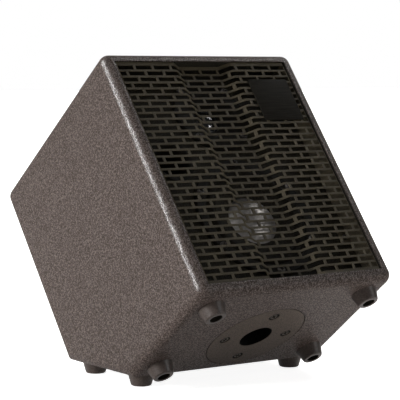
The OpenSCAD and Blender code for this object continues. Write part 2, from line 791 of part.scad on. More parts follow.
// Grille: a bent sheet with a channel down the middle, cut by rows of slots in a running bond
module slot_net()
  for (row = [0 : slot_rows - 1], col = [-slot_cols : slot_cols]) {
    middle = slot_pitch_x * (col + (row % 2 == 0 ? 0 : 0.5));
    from = max(-slot_limit, folded(middle - slot_l / 2));
    to = min(slot_limit, folded(middle + slot_l / 2));
    height = grille_h / 2 + slot_pitch_z * (row - (slot_rows - 1) / 2);
    if (to - from > slot_least) translate([from, height - slot_h / 2]) square([to - from, slot_h]);
  }
module front_grille()
  color(sheet_black) stand() {
    intersection() {
      translate([0, 0, grille_z]) linear_extrude(grille_h) strip(grille_path, grille_bends, grille_t);
      translate([0, baffle_y + cut, grille_z]) rotate([90, 0, 0])
        linear_extrude(baffle_y + 2 * cut) difference() {
          translate([-grille_w / 2 - cut, -cut]) square([grille_w + 2 * cut, grille_h + 2 * cut]);
          slot_net();
        }
    }
    each_grille_lug() difference() {
      translate([-lug_l / 2, -grille_t, -lug_l / 2]) cube([lug_l, grille_t, lug_l]);
      rotate([90, 0, 0]) translate([0, 0, -cut])
        cylinder(r = small_screw_r + screw_clear, h = grille_t + 2 * cut);
    }
  }
module grille_screws()
  color(steel) stand() each_grille_lug() rotate([90, 0, 0]) translate([0, 0, grille_t])
    pan_screw(small_screw_r, small_head_r, small_head_h, grille_t + screw_bite);
module badge_plate()
  color(plastic_black) stand() translate([cab_w / 2 - badge_inset_x, grille_recess, cab_h - badge_drop])
    rotate([90, 0, 0]) linear_extrude(badge_t) rounded_rect(badge_w, badge_h, badge_corner_r);

// Pole socket
module pole_socket()
  color(paint_dark) stand() difference() {
    on_bottom(0, pole_y) {
      translate([0, 0, -pole_flange_t]) cylinder(r = pole_flange_r, h = pole_flange_t);
      translate([0, 0, -pole_depth - pole_wall]) cylinder(r = pole_r + pole_wall, h = pole_depth + pole_wall);
    }
    on_bottom(0, pole_y) translate([0, 0, -pole_depth]) cylinder(r = pole_r, h = pole_depth + cut);
    each_pole_screw() flush_hole(pole_screw_r, pole_head_r, screw_head_h, pole_flange_t + cut);
  }
module pole_socket_screws()
  color(steel) stand() each_pole_screw()
    flush_screw(pole_screw_r, pole_head_r, screw_head_h, pole_flange_t + plate_bite);

// Feet
module foot() {
  hole_r = screw_r + screw_clear;
  seat = foot_h - foot_recess_d;
  revolve(concat(
    [[hole_r, 0]], [[foot_r, 0]],
    corner([foot_r, 0], [foot_tip_r, foot_h], [foot_recess_r, foot_h], foot_edge_r),
    [[foot_recess_r, foot_h], [foot_recess_r, seat], [hole_r, seat]]));
}
module bottom_feet()
  color(rubber) stand() each_bottom_foot() foot();
module wedge_feet()
  color(rubber) stand() each_wedge_foot() foot();
module foot_screw()
  translate([0, 0, foot_h - foot_recess_d])
    pan_screw(screw_r, screw_head_r, screw_head_h, foot_h - foot_recess_d + screw_bite);
module foot_screws()
  color(steel) stand() {
    each_bottom_foot() foot_screw();
    each_wedge_foot() foot_screw();
  }

// Strap handle on top
module handle_strap()
  color(rubber) stand() difference() {
    on_top(0, handle_y) translate([0, strap_w / 2, 0]) rotate([90, 0, 0])
      linear_extrude(strap_w) strip(strap_path, strap_bends, strap_t);
    each_handle_end() translate([0, 0, -cut]) cylinder(r = screw_r + screw_clear, h = strap_t + 2 * cut);
  }
module handle_end_caps() {
  slot_w = strap_w + 2 * fit_clear;
  slot_top = strap_t + fit_clear / 2;
  color(plastic_black) stand() each_handle_end() difference() {
    linear_extrude(grip_cap_h) rounded_rect(grip_cap_l, grip_cap_w, grip_cap_corner_r);
    translate([-grip_cap_l / 2 - cut, -slot_w / 2, -cut])
      cube([grip_cap_l / 2 + cut + strap_tail + fit_clear, slot_w, slot_top + cut]);
    translate([0, 0, -cut]) cylinder(r = screw_r + screw_clear, h = grip_cap_h + 2 * cut);
    translate([0, 0, grip_cap_h - screw_head_h])
      cylinder(r = screw_head_r + fit_clear, h = screw_head_h + cut);
  }
}
module handle_screws()
  color(steel) stand() each_handle_end() translate([0, 0, grip_cap_h - screw_head_h])
    pan_screw(screw_r, screw_head_r, screw_head_h, grip_cap_h - screw_head_h + screw_bite);

// Reflex port
module port_tube() {
  outer = port_r + port_wall;
  flare = port_wall + port_roll;
  color(plastic_black) stand() on_baffle(-port_x, port_z)
    revolve(concat(
      arc([port_r + flare, port_wall - flare], flare, 180, 90, arc_n),
      [[outer + flare, port_wall], [outer + flare, 0], [outer, 0], [outer, -port_l], [port_r, -port_l]]));
}

// Woofer
module woofer_frame() {
  window = window_share * 360 / woofer_screw_n;
  window_in_r = basket_in_r(spider_z) - 1;
  color(plastic_black) stand() difference() {
    on_baffle(0, woofer_z) {
      revolve([
        [ledge_in_r, 0], [basket_r - frame_wall, -frame_wall], [basket_floor_r - frame_wall, -basket_depth],
        [basket_hole_r, -basket_depth], [basket_hole_r, motor_z], [basket_floor_r, motor_z],
        [basket_floor_r, -basket_depth], [basket_r, -frame_wall], [basket_r, 0], [woofer_r, 0],
        [woofer_r, woofer_flange_t - flange_edge], [woofer_r - flange_edge, woofer_flange_t],
        [surround_r, woofer_flange_t], [surround_r, ledge_z], [ledge_in_r, ledge_z]]);
      ring(spider_shelf_r, spider_rim_in_r, spider_seat_z - spider_shelf_t, spider_seat_z);
    }
    on_baffle(0, woofer_z) for (i = [0 : woofer_screw_n - 1]) rotate(i * 360 / woofer_screw_n)
      rotate_extrude(angle = window, start = -window / 2)
        translate([window_in_r, window_low_z])
          square([basket_r + cut - window_in_r, window_top_z - window_low_z]);
    each_woofer_screw() translate([0, 0, -woofer_flange_t - cut])
      cylinder(r = screw_r + screw_clear, h = woofer_flange_t + 2 * cut);
  }
}
module woofer_gasket() {
  in_r = roll_out_r + skin_t / 2 + seat_clear;
  color(rubber) stand() on_baffle(0, woofer_z)
    ring(surround_r - seat_clear, in_r, ledge_z + skin_t, woofer_flange_t - fit_clear);
}
module woofer_screws()
  color(steel) stand() each_woofer_screw()
    pan_screw(screw_r, screw_head_r, screw_head_h, woofer_flange_t + screw_bite);
module woofer_surround() {
  middle = [(roll_in_r + roll_out_r) / 2, ledge_z + skin_t / 2];
  color(rubber) stand() on_baffle(0, woofer_z)
    revolve(concat(
      [[rim_r, ledge_z + skin_t], [rim_r, ledge_z]], arc(middle, roll_r - skin_t / 2, 180, 0),
      [[surround_r - seat_clear, ledge_z], [surround_r - seat_clear, ledge_z + skin_t]],
      arc(middle, roll_r + skin_t / 2, 0, 180)));
}
module woofer_cone()
  color(paper_black) stand() on_baffle(0, woofer_z)
    revolve([
      [rim_r, 0], [cone_r, 0], [cone_r, ledge_z], [rim_r, ledge_z],
      [neck_r, ledge_z - cone_depth], [neck_r, -cone_depth]]);
module woofer_dust_cap() {
  foot_w = 2 * skin_t;
  half = asin(cap_r / cap_ball_r);
  half_in = asin((cap_r - foot_w) / (cap_ball_r - skin_t));
  middle = [0, cap_foot_z + cap_h - cap_ball_r];
  color(plastic_black) stand() on_baffle(0, woofer_z)
    revolve(concat(
      arc(middle, cap_ball_r, 90 - half, 90), arc(middle, cap_ball_r - skin_t, 90, 90 - half_in),
      [[cap_r - foot_w, cap_foot_z - cone_slope * foot_w]]));
}
module woofer_voice_coil()
  color(copper) stand() on_baffle(0, woofer_z) {
    ring(neck_r, coil_r, winding_z - 1, -cone_depth + 1);
    ring(neck_r + winding_t, neck_r - former_t / 2, winding_z, winding_z + winding_l);
  }
module woofer_spider() {
  start_r = neck_r + run_clear;
  wave = [for (i = [0 : spider_steps])
    let (s = i / spider_steps)
    [start_r + (spider_rim_in_r - start_r) * s, spider_z + spider_wave * sin(360 * spider_waves * s)]];
  lift = [0, spider_t / 2];
  color(wood) stand() on_baffle(0, woofer_z)
    revolve(concat(
      [for (p = wave) p + lift],
      [[spider_rim_out_r, spider_z + lift[1]], [spider_rim_out_r, spider_seat_z]],
      [[spider_rim_in_r, spider_seat_z]],
      flipped([for (p = wave) p - lift])));
}
module woofer_top_plate()
  color(steel) stand() on_baffle(0, woofer_z)
    ring(motor_r, neck_r + winding_t + gap_clear, magnet_z, motor_z);
module woofer_magnet()
  color(ferrite) stand() on_baffle(0, woofer_z)
    ring(motor_r, neck_r + winding_t + magnet_step, back_z, magnet_z);
module woofer_pole_piece() {
  end_z = back_z - plate_steel_t;
  post_r = coil_r - gap_clear;
  post_z = motor_z + plate_rim;
  color(steel) stand() on_baffle(0, woofer_z)
    revolve([
      [vent_r, end_z], [motor_r - 2 * plate_rim, end_z], [motor_r - plate_rim, end_z + plate_rim],
      [motor_r - plate_rim, back_z], [post_r, back_z], [post_r, post_z], [vent_r, post_z]]);
}
module woofer_terminals()
  color(paper_black) stand() on_baffle(0, woofer_z)
    translate([-terminal_l / 2, motor_r + fit_clear, motor_z - terminal_t])
      cube([terminal_l, basket_floor_r - motor_r - 2 * fit_clear, terminal_t]);

// Tweeter
module tweeter_face_plate()
  color(plastic_black) stand() difference() {
    on_baffle(0, tweeter_z) revolve(concat(
      [[throat_r, clamp_z]],
      corner([throat_r, clamp_z], [throat_r + 1, throat_z], [mouth_r, tweeter_face_t], throat_bend_r),
      [[mouth_r, tweeter_face_t], [tweeter_r - face_edge, tweeter_face_t],
       [tweeter_r, tweeter_face_t - face_edge], [tweeter_r, 0], [tweeter_boss_r, 0],
       [tweeter_boss_r, tweeter_top_z], [clamp_r, tweeter_top_z], [clamp_r, clamp_z]]));
    each_tweeter_screw() translate([0, 0, -tweeter_face_t - cut])
      cylinder(r = screw_r + screw_clear, h = tweeter_face_t + 2 * cut);
  }
module tweeter_screws()
  color(steel) stand() each_tweeter_screw()
    pan_screw(screw_r, screw_head_r, screw_head_h, tweeter_face_t + screw_bite);
module tweeter_suspension() {
  roll = (throat_r - dome_r) / 2;
  middle = [dome_r + roll, tweeter_top_z + fabric_t / 2];
  color(paper_black) stand() on_baffle(0, tweeter_z)
    revolve(concat(
      arc(middle, roll, 180, 30, 8),
      [[throat_r, clamp_z], [clamp_r, clamp_z], [clamp_r, tweeter_top_z], [throat_r, tweeter_top_z]],
      arc(middle, roll - fabric_t / 2, 0, 180, 8)));
}
module tweeter_dome() {
  half = asin(dome_r / tweeter_ball_r);
  middle = [0, tweeter_top_z + fabric_t / 2 + dome_h - tweeter_ball_r];
  color(plastic_black) stand() on_baffle(0, tweeter_z)
    revolve(concat(
      arc(middle, tweeter_ball_r, 90 - half, 90),
      arc(middle, tweeter_ball_r - fabric_t / 2, 90, 90 - half)));
}
module tweeter_voice_coil() {
  low = tweeter_top_z - tweeter_plate_t / 2 - tweeter_coil_l / 2;
  color(copper) stand() on_baffle(0, tweeter_z) {
    ring(dome_r, dome_r - former_t, low, tweeter_top_z);
    ring(dome_r + tweeter_winding_t, dome_r - former_t / 2, low, low + tweeter_coil_l - 1);
  }
}
module tweeter_top_plate()
  color(steel) stand() on_baffle(0, tweeter_z)
    ring(tweeter_motor_r, dome_r + tweeter_winding_t + gap_clear, tweeter_magnet_z, tweeter_top_z);
module tweeter_magnet()
  color(ferrite) stand() on_baffle(0, tweeter_z)
    ring(tweeter_motor_r, dome_r + tweeter_winding_t + tweeter_magnet_step, tweeter_back_z, tweeter_magnet_z);
module tweeter_pole_piece() {
  post_r = dome_r - former_t - gap_clear;
  post_z = tweeter_top_z - gap_clear;
  rim_out_r = tweeter_motor_r - plate_rim;
  color(steel) stand() on_baffle(0, tweeter_z)
    revolve([
      [0, tweeter_end_z], [rim_out_r - plate_rim, tweeter_end_z], [rim_out_r, tweeter_end_z + plate_rim],
      [rim_out_r, tweeter_back_z], [post_r, tweeter_back_z], [post_r, post_z], [0, post_z]]);
}

// Leads inside the cabinet
module lead(points) {
  path = route(points);
  last = len(path) - 1;
  stop = len(points) - 1;
  function heading(i) =
    i == 0 ? points[1] - points[0] : i == last ? points[stop] - points[stop - 1] : path[i + 1] - path[i - 1];
  rings = [for (i = [0 : last])
    let (
      along = unit(heading(i)),
      side = unit(cross(along, [1, 0, 0])),
      up = cross(side, along))
    [for (k = [0 : lead_sides - 1])
      let (turn = 360 * k / lead_sides)
      path[i] + lead_r * (side * cos(turn) + up * sin(turn))]];
  walls = [for (i = [0 : last - 1], k = [0 : lead_sides - 1])
    let (a = i * lead_sides + k, b = i * lead_sides + (k + 1) % lead_sides)
    each [[a, b, b + lead_sides], [a, b + lead_sides, a + lead_sides]]];
  base = last * lead_sides;
  start = [for (k = [1 : lead_sides - 2]) [0, k + 1, k]];
  end = [for (k = [1 : lead_sides - 2]) [base, base + k, base + k + 1]];
  polyhedron([for (r = rings, p = r) p], concat(walls, start, end));
}
module speaker_leads()
  color(plastic_black) stand() {
    lead(woofer_lead);
    lead(tweeter_lead);
  }

// Amplifier panel and what it carries
module amp_panel()
  color(plastic_black) stand() difference() {
    on_amp(0, 0) translate([0, 0, -amp_t]) linear_extrude(amp_t) difference() {
      rounded_rect(amp_w, amp_h, amp_corner_r);
      for (u = knob_us) translate([u, knob_v]) circle(bush_r + screw_clear);
      translate([button_u, button_v]) circle(button_r + move_gap);
      translate([lamp_u, button_v]) circle(lamp_r + screw_clear);
      for (u = jack_us) translate([u, jack_v]) circle(jack_barrel_r + screw_clear);
      translate([inlet_u, inlet_v])
        square(inlet_body + 2 * screw_clear * [1, 1], center = true);
      translate([rocker_u, rocker_v])
        square(rocker_body + 2 * screw_clear * [1, 1], center = true);
    }
    each_amp_screw() translate([0, 0, -amp_t - cut])
      cylinder(r = small_screw_r + screw_clear, h = amp_t + 2 * cut);
  }
module amp_panel_screws()
  color(steel) stand() each_amp_screw()
    pan_screw(small_screw_r, small_head_r, small_head_h, amp_t + plate_bite);
module potentiometers()
  color(steel) stand() for (u = knob_us) on_amp(u, knob_v) difference() {
    union() {
      translate([0, 0, preamp_z]) cylinder(r = pot_r, h = pot_d);
      translate([0, 0, -amp_t - cut]) cylinder(r = bush_r, h = amp_t + cut + bush_l);
      cylinder(r = nut_r, h = nut_h, $fn = 6);
    }
    translate([0, 0, -amp_t - pot_bore_d])
      cylinder(r = spindle_r + run_clear, h = amp_t + pot_bore_d + bush_l + cut);
  }
module knob(i)
  color(plastic_black) stand() on_amp(knob_us[i], knob_v) {
    difference() {
      translate([0, 0, knob_z]) cylinder(r1 = knob_r, r2 = knob_r * knob_taper, h = knob_h);
      translate([0, 0, knob_z - cut]) cylinder(r = nut_r + move_gap, h = bush_l + move_gap - knob_z + cut);
      translate([-knob_mark_w / 2, knob_r / 3, knob_z + knob_h - knob_mark_d])
        cube([knob_mark_w, knob_r, knob_mark_d + cut]);
    }
    translate([0, 0, move_gap - amp_t - pot_bore_d])
      cylinder(r = spindle_r, h = amp_t + pot_bore_d + knob_h - knob_cap_t);
  }
module channel_1_knob() knob(0);
module channel_2_knob() knob(1);
module bass_knob() knob(2);
module treble_knob() knob(3);
module master_knob() knob(4);
module preamp_board()
  color(board_green) stand() {
    on_amp(0, preamp_v) translate([-preamp_w / 2, -preamp_h / 2, preamp_z - board_t])
      cube([preamp_w, preamp_h, board_t]);
    on_amp(button_u, button_v) translate([-switch_box_w / 2, -switch_box_w / 2, preamp_z])
      cube([switch_box_w, switch_box_w, switch_box_h]);
    on_amp(lamp_u, button_v) translate([0, 0, preamp_z]) cylinder(r = lamp_post_r, h = pot_d - lamp_foot_h);
  }
module mute_button()
  color(paint_dark) stand() on_amp(button_u, button_v) translate([0, 0, button_foot]) {
    cylinder(r = button_r, h = button_reach - button_foot);
    cylinder(r = button_r + button_brim, h = button_foot_h - move_gap);
  }
module power_lamp()
  color(lamp_green) stand() on_amp(lamp_u, button_v) {
    translate([0, 0, -amp_t - cut]) cylinder(r = lamp_r, h = amp_t + cut + lamp_rise);
    translate([0, 0, -amp_t - lamp_foot_h]) cylinder(r = lamp_r + lamp_brim, h = lamp_foot_h);
    translate([0, 0, lamp_rise]) intersection() {
      sphere(lamp_r);
      cylinder(r = lamp_r + cut, h = lamp_r + cut);
    }
  }
module jack_sockets()
  color(plastic_black) stand() difference() {
    each_jack() {
      linear_extrude(jack_flange_t) rounded_rect(jack_flange_w, jack_flange_h, jack_corner_r);
      translate([0, 0, jack_flange_t - jack_depth - jack_end_t])
        cylinder(r = jack_barrel_r, h = jack_depth + jack_end_t - cut);
    }
    each_jack() translate([0, 0, jack_flange_t - jack_depth]) cylinder(r = jack_r, h = jack_depth + cut);
  }
module mains_inlet()
  color(plastic_black) stand() on_amp(inlet_u, inlet_v) {
    difference() {
      union() {
        linear_extrude(inlet_flange_t)
          rounded_rect(inlet_body[0] + 2 * inlet_ear, inlet_body[1] + 2 * inlet_brim, inlet_corner_r);
        translate([0, 0, (inlet_flange_t - inlet_d - inlet_wall) / 2])
          cube([inlet_body[0], inlet_body[1], inlet_flange_t + inlet_d + inlet_wall - cut], center = true);
      }
      translate([-inlet_w / 2, -inlet_h / 2, inlet_flange_t - inlet_d])
        cube([inlet_w, inlet_h, inlet_d + cut]);
    }
    for (p = inlet_pins)
      translate([p[0] - inlet_pin_t / 2, p[1] - inlet_pin_w / 2, inlet_flange_t - inlet_d - cut])
        cube([inlet_pin_t, inlet_pin_w, inlet_d - inlet_pin_sunk + cut]);
  }
module power_switch_frame()
  color(plastic_black) stand() on_amp(rocker_u, rocker_v) difference() {
    union() {
      linear_extrude(rocker_flange_t)
        rounded_rect(rocker_body[0] + 2 * rocker_brim, rocker_body[1] + 2 * rocker_brim, rocker_brim);
      translate([-rocker_body[0] / 2, -rocker_body[1] / 2, -rocker_body_d])
        cube([rocker_body[0], rocker_body[1], rocker_body_d + cut]);
    }
    translate([-rocker_cavity[0] / 2, -rocker_cavity[1] / 2, -rocker_cavity_d])
      cube([rocker_cavity[0], rocker_cavity[1], rocker_cavity_d + rocker_flange_t + cut]);
    rotate([0, 90, 0]) cylinder(r = rocker_pin_r + run_clear, h = rocker_body[0] + cut, center = true);
  }
module power_rocker() {
  end = rocker_l / 2;
  tip = rocker_rise + end * tan(rocker_tilt);
  color(plastic_black) stand() on_amp(rocker_u, rocker_v) rotate([rocker_tilt, 0, 0]) {
    rotate([90, 0, 90]) translate([0, 0, -rocker_w / 2]) linear_extrude(rocker_w) {
      polygon([
        [-end, tip], [0, rocker_dip], [end, tip],
        [end - 2 * rocker_edge, -rocker_edge], [0, -rocker_dip], [2 * rocker_edge - end, -rocker_edge]]);
      circle(2 * rocker_pin_r);
    }
    rotate([0, 90, 0]) cylinder(r = rocker_pin_r, h = rocker_body[0] - fit_clear, center = true);
  }
}

// Power supply and output stage on a shelf behind the panel
module shelf_frame()
  translate([0, cab_d - amp_t, amp_z + shelf_v]) children();
module amp_shelf()
  color(steel) stand() shelf_frame() difference() {
    union() {
      translate([-shelf_w / 2, -shelf_d, 0]) cube([shelf_w, shelf_d, shelf_t]);
      translate([-shelf_w / 2, -shelf_t, 0]) cube([shelf_w, shelf_t, shelf_lip]);
    }
    translate([-toroid_u, -toroid_w, -cut]) cylinder(r = screw_r + screw_clear, h = shelf_t + 2 * cut);
  }
module on_toroid(z)
  shelf_frame() translate([-toroid_u, -toroid_w, z]) children();
module ring_transformer() {
  r = toroid_edge_r;
  color(copper) stand() on_toroid(shelf_t)
    revolve(concat(
      [[toroid_hole_r, 0], [toroid_r - r, 0]], arc([toroid_r - r, r], r, -90, 0, arc_n),
      arc([toroid_r - r, toroid_h - r], r, 0, 90, arc_n), [[toroid_hole_r, toroid_h]]));
}
module transformer_bolt() {
  top = shelf_t + toroid_h;
  color(steel) stand() {
    on_toroid(-nut_t) cylinder(r = screw_r, h = top + clamp_disc_t + 2 * nut_t);
    on_toroid(-nut_t) cylinder(r = screw_head_r, h = nut_t);
    on_toroid(top) cylinder(r = clamp_disc_r, h = clamp_disc_t);
    on_toroid(top + clamp_disc_t) cylinder(r = screw_head_r, h = nut_t, $fn = 6);
  }
}
module power_amp_board()
  color(board_green) stand() shelf_frame() translate([-amp_board_u, amp_board_edge - shelf_d, shelf_t]) {
    translate([-amp_board_l / 2, 0, standoff_h]) cube([amp_board_l, amp_board_l, board_t]);
    for (x = [-1, 1], y = [-1, 1])
      translate([x * standoff_x, amp_board_l / 2 + y * standoff_x, 0])
        cylinder(r = standoff_r, h = standoff_h + board_t);
    for (x = [-1, 1])
      translate([x * capacitor_x, capacitor_y, standoff_h]) cylinder(r = capacitor_r, h = capacitor_h);
    translate([-sink_w / 2, sink_y, standoff_h]) {
      cube([sink_w, sink_d, sink_base_t]);
      for (i = [0 : fin_n - 1])
        translate([i * (sink_w - fin_t) / (fin_n - 1), 0, 0]) cube([fin_t, sink_d, sink_h]);
    }
  }

left_side_panel();
right_side_panel();
top_panel();
bottom_panel();
wedge_panel();
back_panel();
baffle();
baffle_battens();
front_grille();
grille_screws();
badge_plate();
pole_socket();
pole_socket_screws();
bottom_feet();
wedge_feet();
foot_screws();
handle_strap();
handle_end_caps();
handle_screws();
port_tube();
woofer_frame();
woofer_gasket();
woofer_screws();
woofer_surround();
woofer_cone();
woofer_dust_cap();
woofer_voice_coil();
woofer_spider();
woofer_top_plate();
woofer_magnet();
woofer_pole_piece();
woofer_terminals();
tweeter_face_plate();
tweeter_screws();
tweeter_suspension();
tweeter_dome();
tweeter_voice_coil();
tweeter_top_plate();
tweeter_magnet();
tweeter_pole_piece();
speaker_leads();
amp_panel();
amp_panel_screws();
amp_shelf();
power_amp_board();
ring_transformer();
transformer_bolt();
preamp_board();
potentiometers();
channel_1_knob();
channel_2_knob();
bass_knob();
treble_knob();
master_knob();
jack_sockets();
mains_inlet();
power_switch_frame();
power_rocker();
mute_button();
power_lamp();
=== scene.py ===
"""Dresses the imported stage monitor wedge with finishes, detailed pieces and a studio."""

import json
import math
from collections import namedtuple

import bmesh
import bpy
from mathutils import Matrix, Quaternion, Vector


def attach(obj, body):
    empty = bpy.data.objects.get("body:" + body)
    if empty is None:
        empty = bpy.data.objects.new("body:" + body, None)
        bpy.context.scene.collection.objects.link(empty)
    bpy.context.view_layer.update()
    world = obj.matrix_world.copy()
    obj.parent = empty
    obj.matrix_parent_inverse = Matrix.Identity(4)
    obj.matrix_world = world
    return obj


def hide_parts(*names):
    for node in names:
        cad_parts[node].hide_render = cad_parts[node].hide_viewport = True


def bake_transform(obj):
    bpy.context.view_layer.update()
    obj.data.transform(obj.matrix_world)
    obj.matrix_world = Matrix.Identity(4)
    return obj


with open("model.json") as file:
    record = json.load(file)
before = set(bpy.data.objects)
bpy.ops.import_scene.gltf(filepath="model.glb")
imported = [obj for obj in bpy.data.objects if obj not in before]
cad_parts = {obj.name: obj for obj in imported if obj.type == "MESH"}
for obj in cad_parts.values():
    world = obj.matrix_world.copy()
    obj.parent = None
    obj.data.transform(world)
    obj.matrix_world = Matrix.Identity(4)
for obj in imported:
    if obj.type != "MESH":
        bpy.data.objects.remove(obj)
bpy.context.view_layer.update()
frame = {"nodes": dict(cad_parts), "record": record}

bl_info = {
    "name": "Stage monitor wedge",
    "version": (1, 0, 0),
    "blender": (4, 5, 0),
    "location": "View3D > Sidebar > Monitor",
    "description": "Finishes, detailed pieces and a studio for a packed stage monitor wedge",
    "category": "Object",
}

MM = 0.001

# The cabinet leans back by this angle, and its faces are described on the upright cabinet
LEAN_ANGLE = math.radians(38)
LEAN = Matrix.Rotation(-LEAN_ANGLE, 4, "X")
UPRIGHT = (LEAN_ANGLE, 0, 0)

# Points closer than this are one point, and measures closer than ten times this are equal
MERGE = 1e-6
NEAR = 10 * MERGE
# Faces that meet at less than this are one face
FLAT_ANGLE = math.radians(1)
# Edges that turn by more than this are hard
HARD_ANGLE = math.radians(32)


def facing(right, up):
    """Turns a piece drawn on the XY plane so that it lies on a face of the upright cabinet."""
    right, up = Vector(right), Vector(up)
    out = right.cross(up)
    return Matrix((right, up, out)).transposed().to_4x4()


FRONT = facing((1, 0, 0), (0, 0, 1))
BACK = facing((-1, 0, 0), (0, 0, 1))
TOP = facing((1, 0, 0), (0, 1, 0))
BOTTOM = facing((1, 0, 0), (0, -1, 0))
WEDGE = facing((1, 0, 0), (0, -math.cos(LEAN_ANGLE), -math.sin(LEAN_ANGLE)))


# Places of the solids
def box_of(points):
    """Lowest and highest corner of some points."""
    low = Vector(min(p[i] for p in points) for i in range(3))
    high = Vector(max(p[i] for p in points) for i in range(3))
    return low, high


def seen_from(face, points):
    """Points of the scene, in the frame of a face of the upright cabinet."""
    back = (LEAN @ face).inverted()
    return [back @ p for p in points]


def solid_points(face, node):
    """The points of a solid in the frame of a face, where Z is the height over that face."""
    return seen_from(face, [v.co for v in frame["nodes"][node].data.vertices])


def seat_box(face, node):
    """The box of a solid in the frame of a face."""
    return box_of(solid_points(face, node))


def merged_copy(node):
    """A copy of a solid's mesh whose loose triangles are joined."""
    bm = bmesh.new()
    bm.from_mesh(frame["nodes"][node].data)
    bmesh.ops.remove_doubles(bm, verts=bm.verts, dist=MERGE)
    return bm


def turned(points):
    """The middle of a shape that is turned about Z, and its points as radius and height."""
    low, high = box_of(points)
    middle = (low + high) / 2
    return middle, [(math.hypot(p.x - middle.x, p.y - middle.y), p.z) for p in points]


def ring_extent(node):
    """Points of a turned solid of the front as radius and height, then the least and greatest of both."""
    points = turned(solid_points(FRONT, node))[1]
    radii, heights = zip(*points)
    return points, min(radii), max(radii), min(heights), max(heights)


def on_face(face, middle, turn=0.0):
    """Places what is drawn about the origin at a point over a face, at the same height."""
    return LEAN @ face @ Matrix.Translation((middle[0], middle[1], 0)) @ Matrix.Rotation(turn, 4, "Z")


def islands(node):
    """The points of each separate body in a solid that has several."""
    bm = merged_copy(node)
    left = set(bm.verts)
    found = []
    while left:
        edge = [left.pop()]
        group = list(edge)
        while edge:
            near = {e.other_vert(v) for v in edge for e in v.link_edges} & left
            left -= near
            edge = list(near)
            group += edge
        found.append([v.co.copy() for v in group])
    bm.free()
    return sorted(found, key=lambda points: [round(c, 4) for c in box_of(points)[0]])


# A screw's axis, the radius of its head, and the heights of the head's rim, its top and the screw's tip
Seat = namedtuple("Seat", "middle radius base top end")

# A screw is as wide as it is deep within this measure, and its rim lies beyond this share of its width
ROUND_WITHIN = 0.2 * MM
RIM_SHARE = 0.47


def screw_seats(face, node):
    """Axis, head and tip of each screw in a solid that stands square on a face."""
    found = []
    for points in islands(node):
        local = seen_from(face, points)
        low, high = box_of(local)
        width = high.x - low.x
        if abs(width - (high.y - low.y)) > ROUND_WITHIN:
            continue
        middle, rings = turned(local)
        base = min(z for r, z in rings if r > RIM_SHARE * width)
        found.append(Seat(middle, width / 2, base, high.z, low.z))
    return found


# Meshes
def add_box(bm, low, high, material=0):
    """A box between two corners."""
    low, high = Vector(low), Vector(high)
    place = Matrix.Translation((low + high) / 2) @ Matrix.Diagonal((*(high - low), 1))
    made = bmesh.ops.create_cube(bm, size=1, matrix=place)["verts"]
    for face in {f for v in made for f in v.link_faces}:
        face.material_index = material
    return made


def add_spun(bm, profile, segments, place=Matrix(), angle=math.tau, closed=False):
    """A turned shape from a profile of radius and height; a closed profile gives a solid sector."""
    before = set(bm.verts)
    verts = [bm.verts.new((r, 0, z)) for r, z in profile]
    edges = [bm.edges.new(pair) for pair in zip(verts, verts[1:])]
    full = angle == math.tau
    if closed:
        edges.append(bm.edges.new((verts[-1], verts[0])))
    geom = verts + edges
    if closed and not full:
        geom.append(bm.faces.new(verts))
    bmesh.ops.spin(
        bm, geom=geom, cent=(0, 0, 0), axis=(0, 0, 1), dvec=(0, 0, 0),
        angle=angle, steps=segments, use_merge=full)
    made = [v for v in bm.verts if v not in before]
    bmesh.ops.remove_doubles(bm, verts=made, dist=MERGE)
    made = [v for v in bm.verts if v not in before]
    bmesh.ops.transform(bm, matrix=place, verts=made)
    return made


def arc(middle, radius, start, stop, steps):
    """Points of an arc, with its angles in degrees."""
    turns = [math.radians(start + (stop - start) * i / steps) for i in range(steps + 1)]
    return [(middle[0] + radius * math.cos(t), middle[1] + radius * math.sin(t)) for t in turns]


def add_rings(bm, rings, place):
    """A closed skin through rings with equal numbers of points."""
    loops = [[bm.verts.new(place @ Vector(p)) for p in ring] for ring in rings]
    for low, high in zip(loops, loops[1:]):
        for i, first in enumerate(low):
            j = (i + 1) % len(low)
            bm.faces.new((first, low[j], high[j], high[i]))
    bm.faces.new(loops[0][::-1])
    bm.faces.new(loops[-1])


# Screws: sides, least rise of a domed head, depth of a sunk one and its radius as a share of its seat's
SCREW_SIDES, DOMED_RISE, SUNK_DEPTH, SUNK_SHARE = 16, 0.3 * MM, 0.4 * MM, 0.78
# Shares of a head's radius: shank, flat top, arm and half width of the cross
SHANK_SHARE, FLAT_SHARE, CROSS_ARM, CROSS_HALF = 0.48, 0.78, 0.64, 0.18
# Share of a cross that its floor keeps, and its depth as a share of an arm
CROSS_TAPER, CROSS_DEPTH = 0.8, 0.5
# Outline of a domed head as shares of its radius and rise
DOME = ((1, 0), (1, 0.35), (0.93, 0.75))


def add_screw(bm, place, seat):
    """A screw with a cross recess: with a domed head, or a sunk one where the head has no rim; its recess,
    and the outer ring of a sunk head's top, are painted black as shade.
    """
    rise = seat.top - seat.base
    sunk = rise < DOMED_RISE
    head, top = (SUNK_SHARE * seat.radius, seat.top - SUNK_DEPTH) if sunk else (seat.radius, seat.top)
    shank, flat = SHANK_SHARE * head, FLAT_SHARE * head
    dome = [(r * head, seat.base + z * rise) for r, z in DOME]
    neck, crown = (top - (head - shank), [(head, top)]) if sunk else (seat.base, dome)
    profile = [(0, seat.end), (shank, seat.end), (shank, neck), *crown, (flat, top)]
    made = add_spun(bm, profile, SCREW_SIDES, place)
    back = place.inverted()
    local = {v: back @ v.co for v in made}
    rim = [v for v, at in local.items() if math.isclose(math.hypot(at.x, at.y), flat, rel_tol=0.01)]
    rim.sort(key=lambda v: math.atan2(local[v].y, local[v].x) % (math.tau - MERGE))
    # The outer ring of a sunk head's top is painted black as the shade of the gap round it
    if sunk:
        for face in {f for v in rim for f in v.link_faces}:
            face.material_index = 1
    add_cross(bm, rim, place, CROSS_ARM * head, CROSS_HALF * head, top)


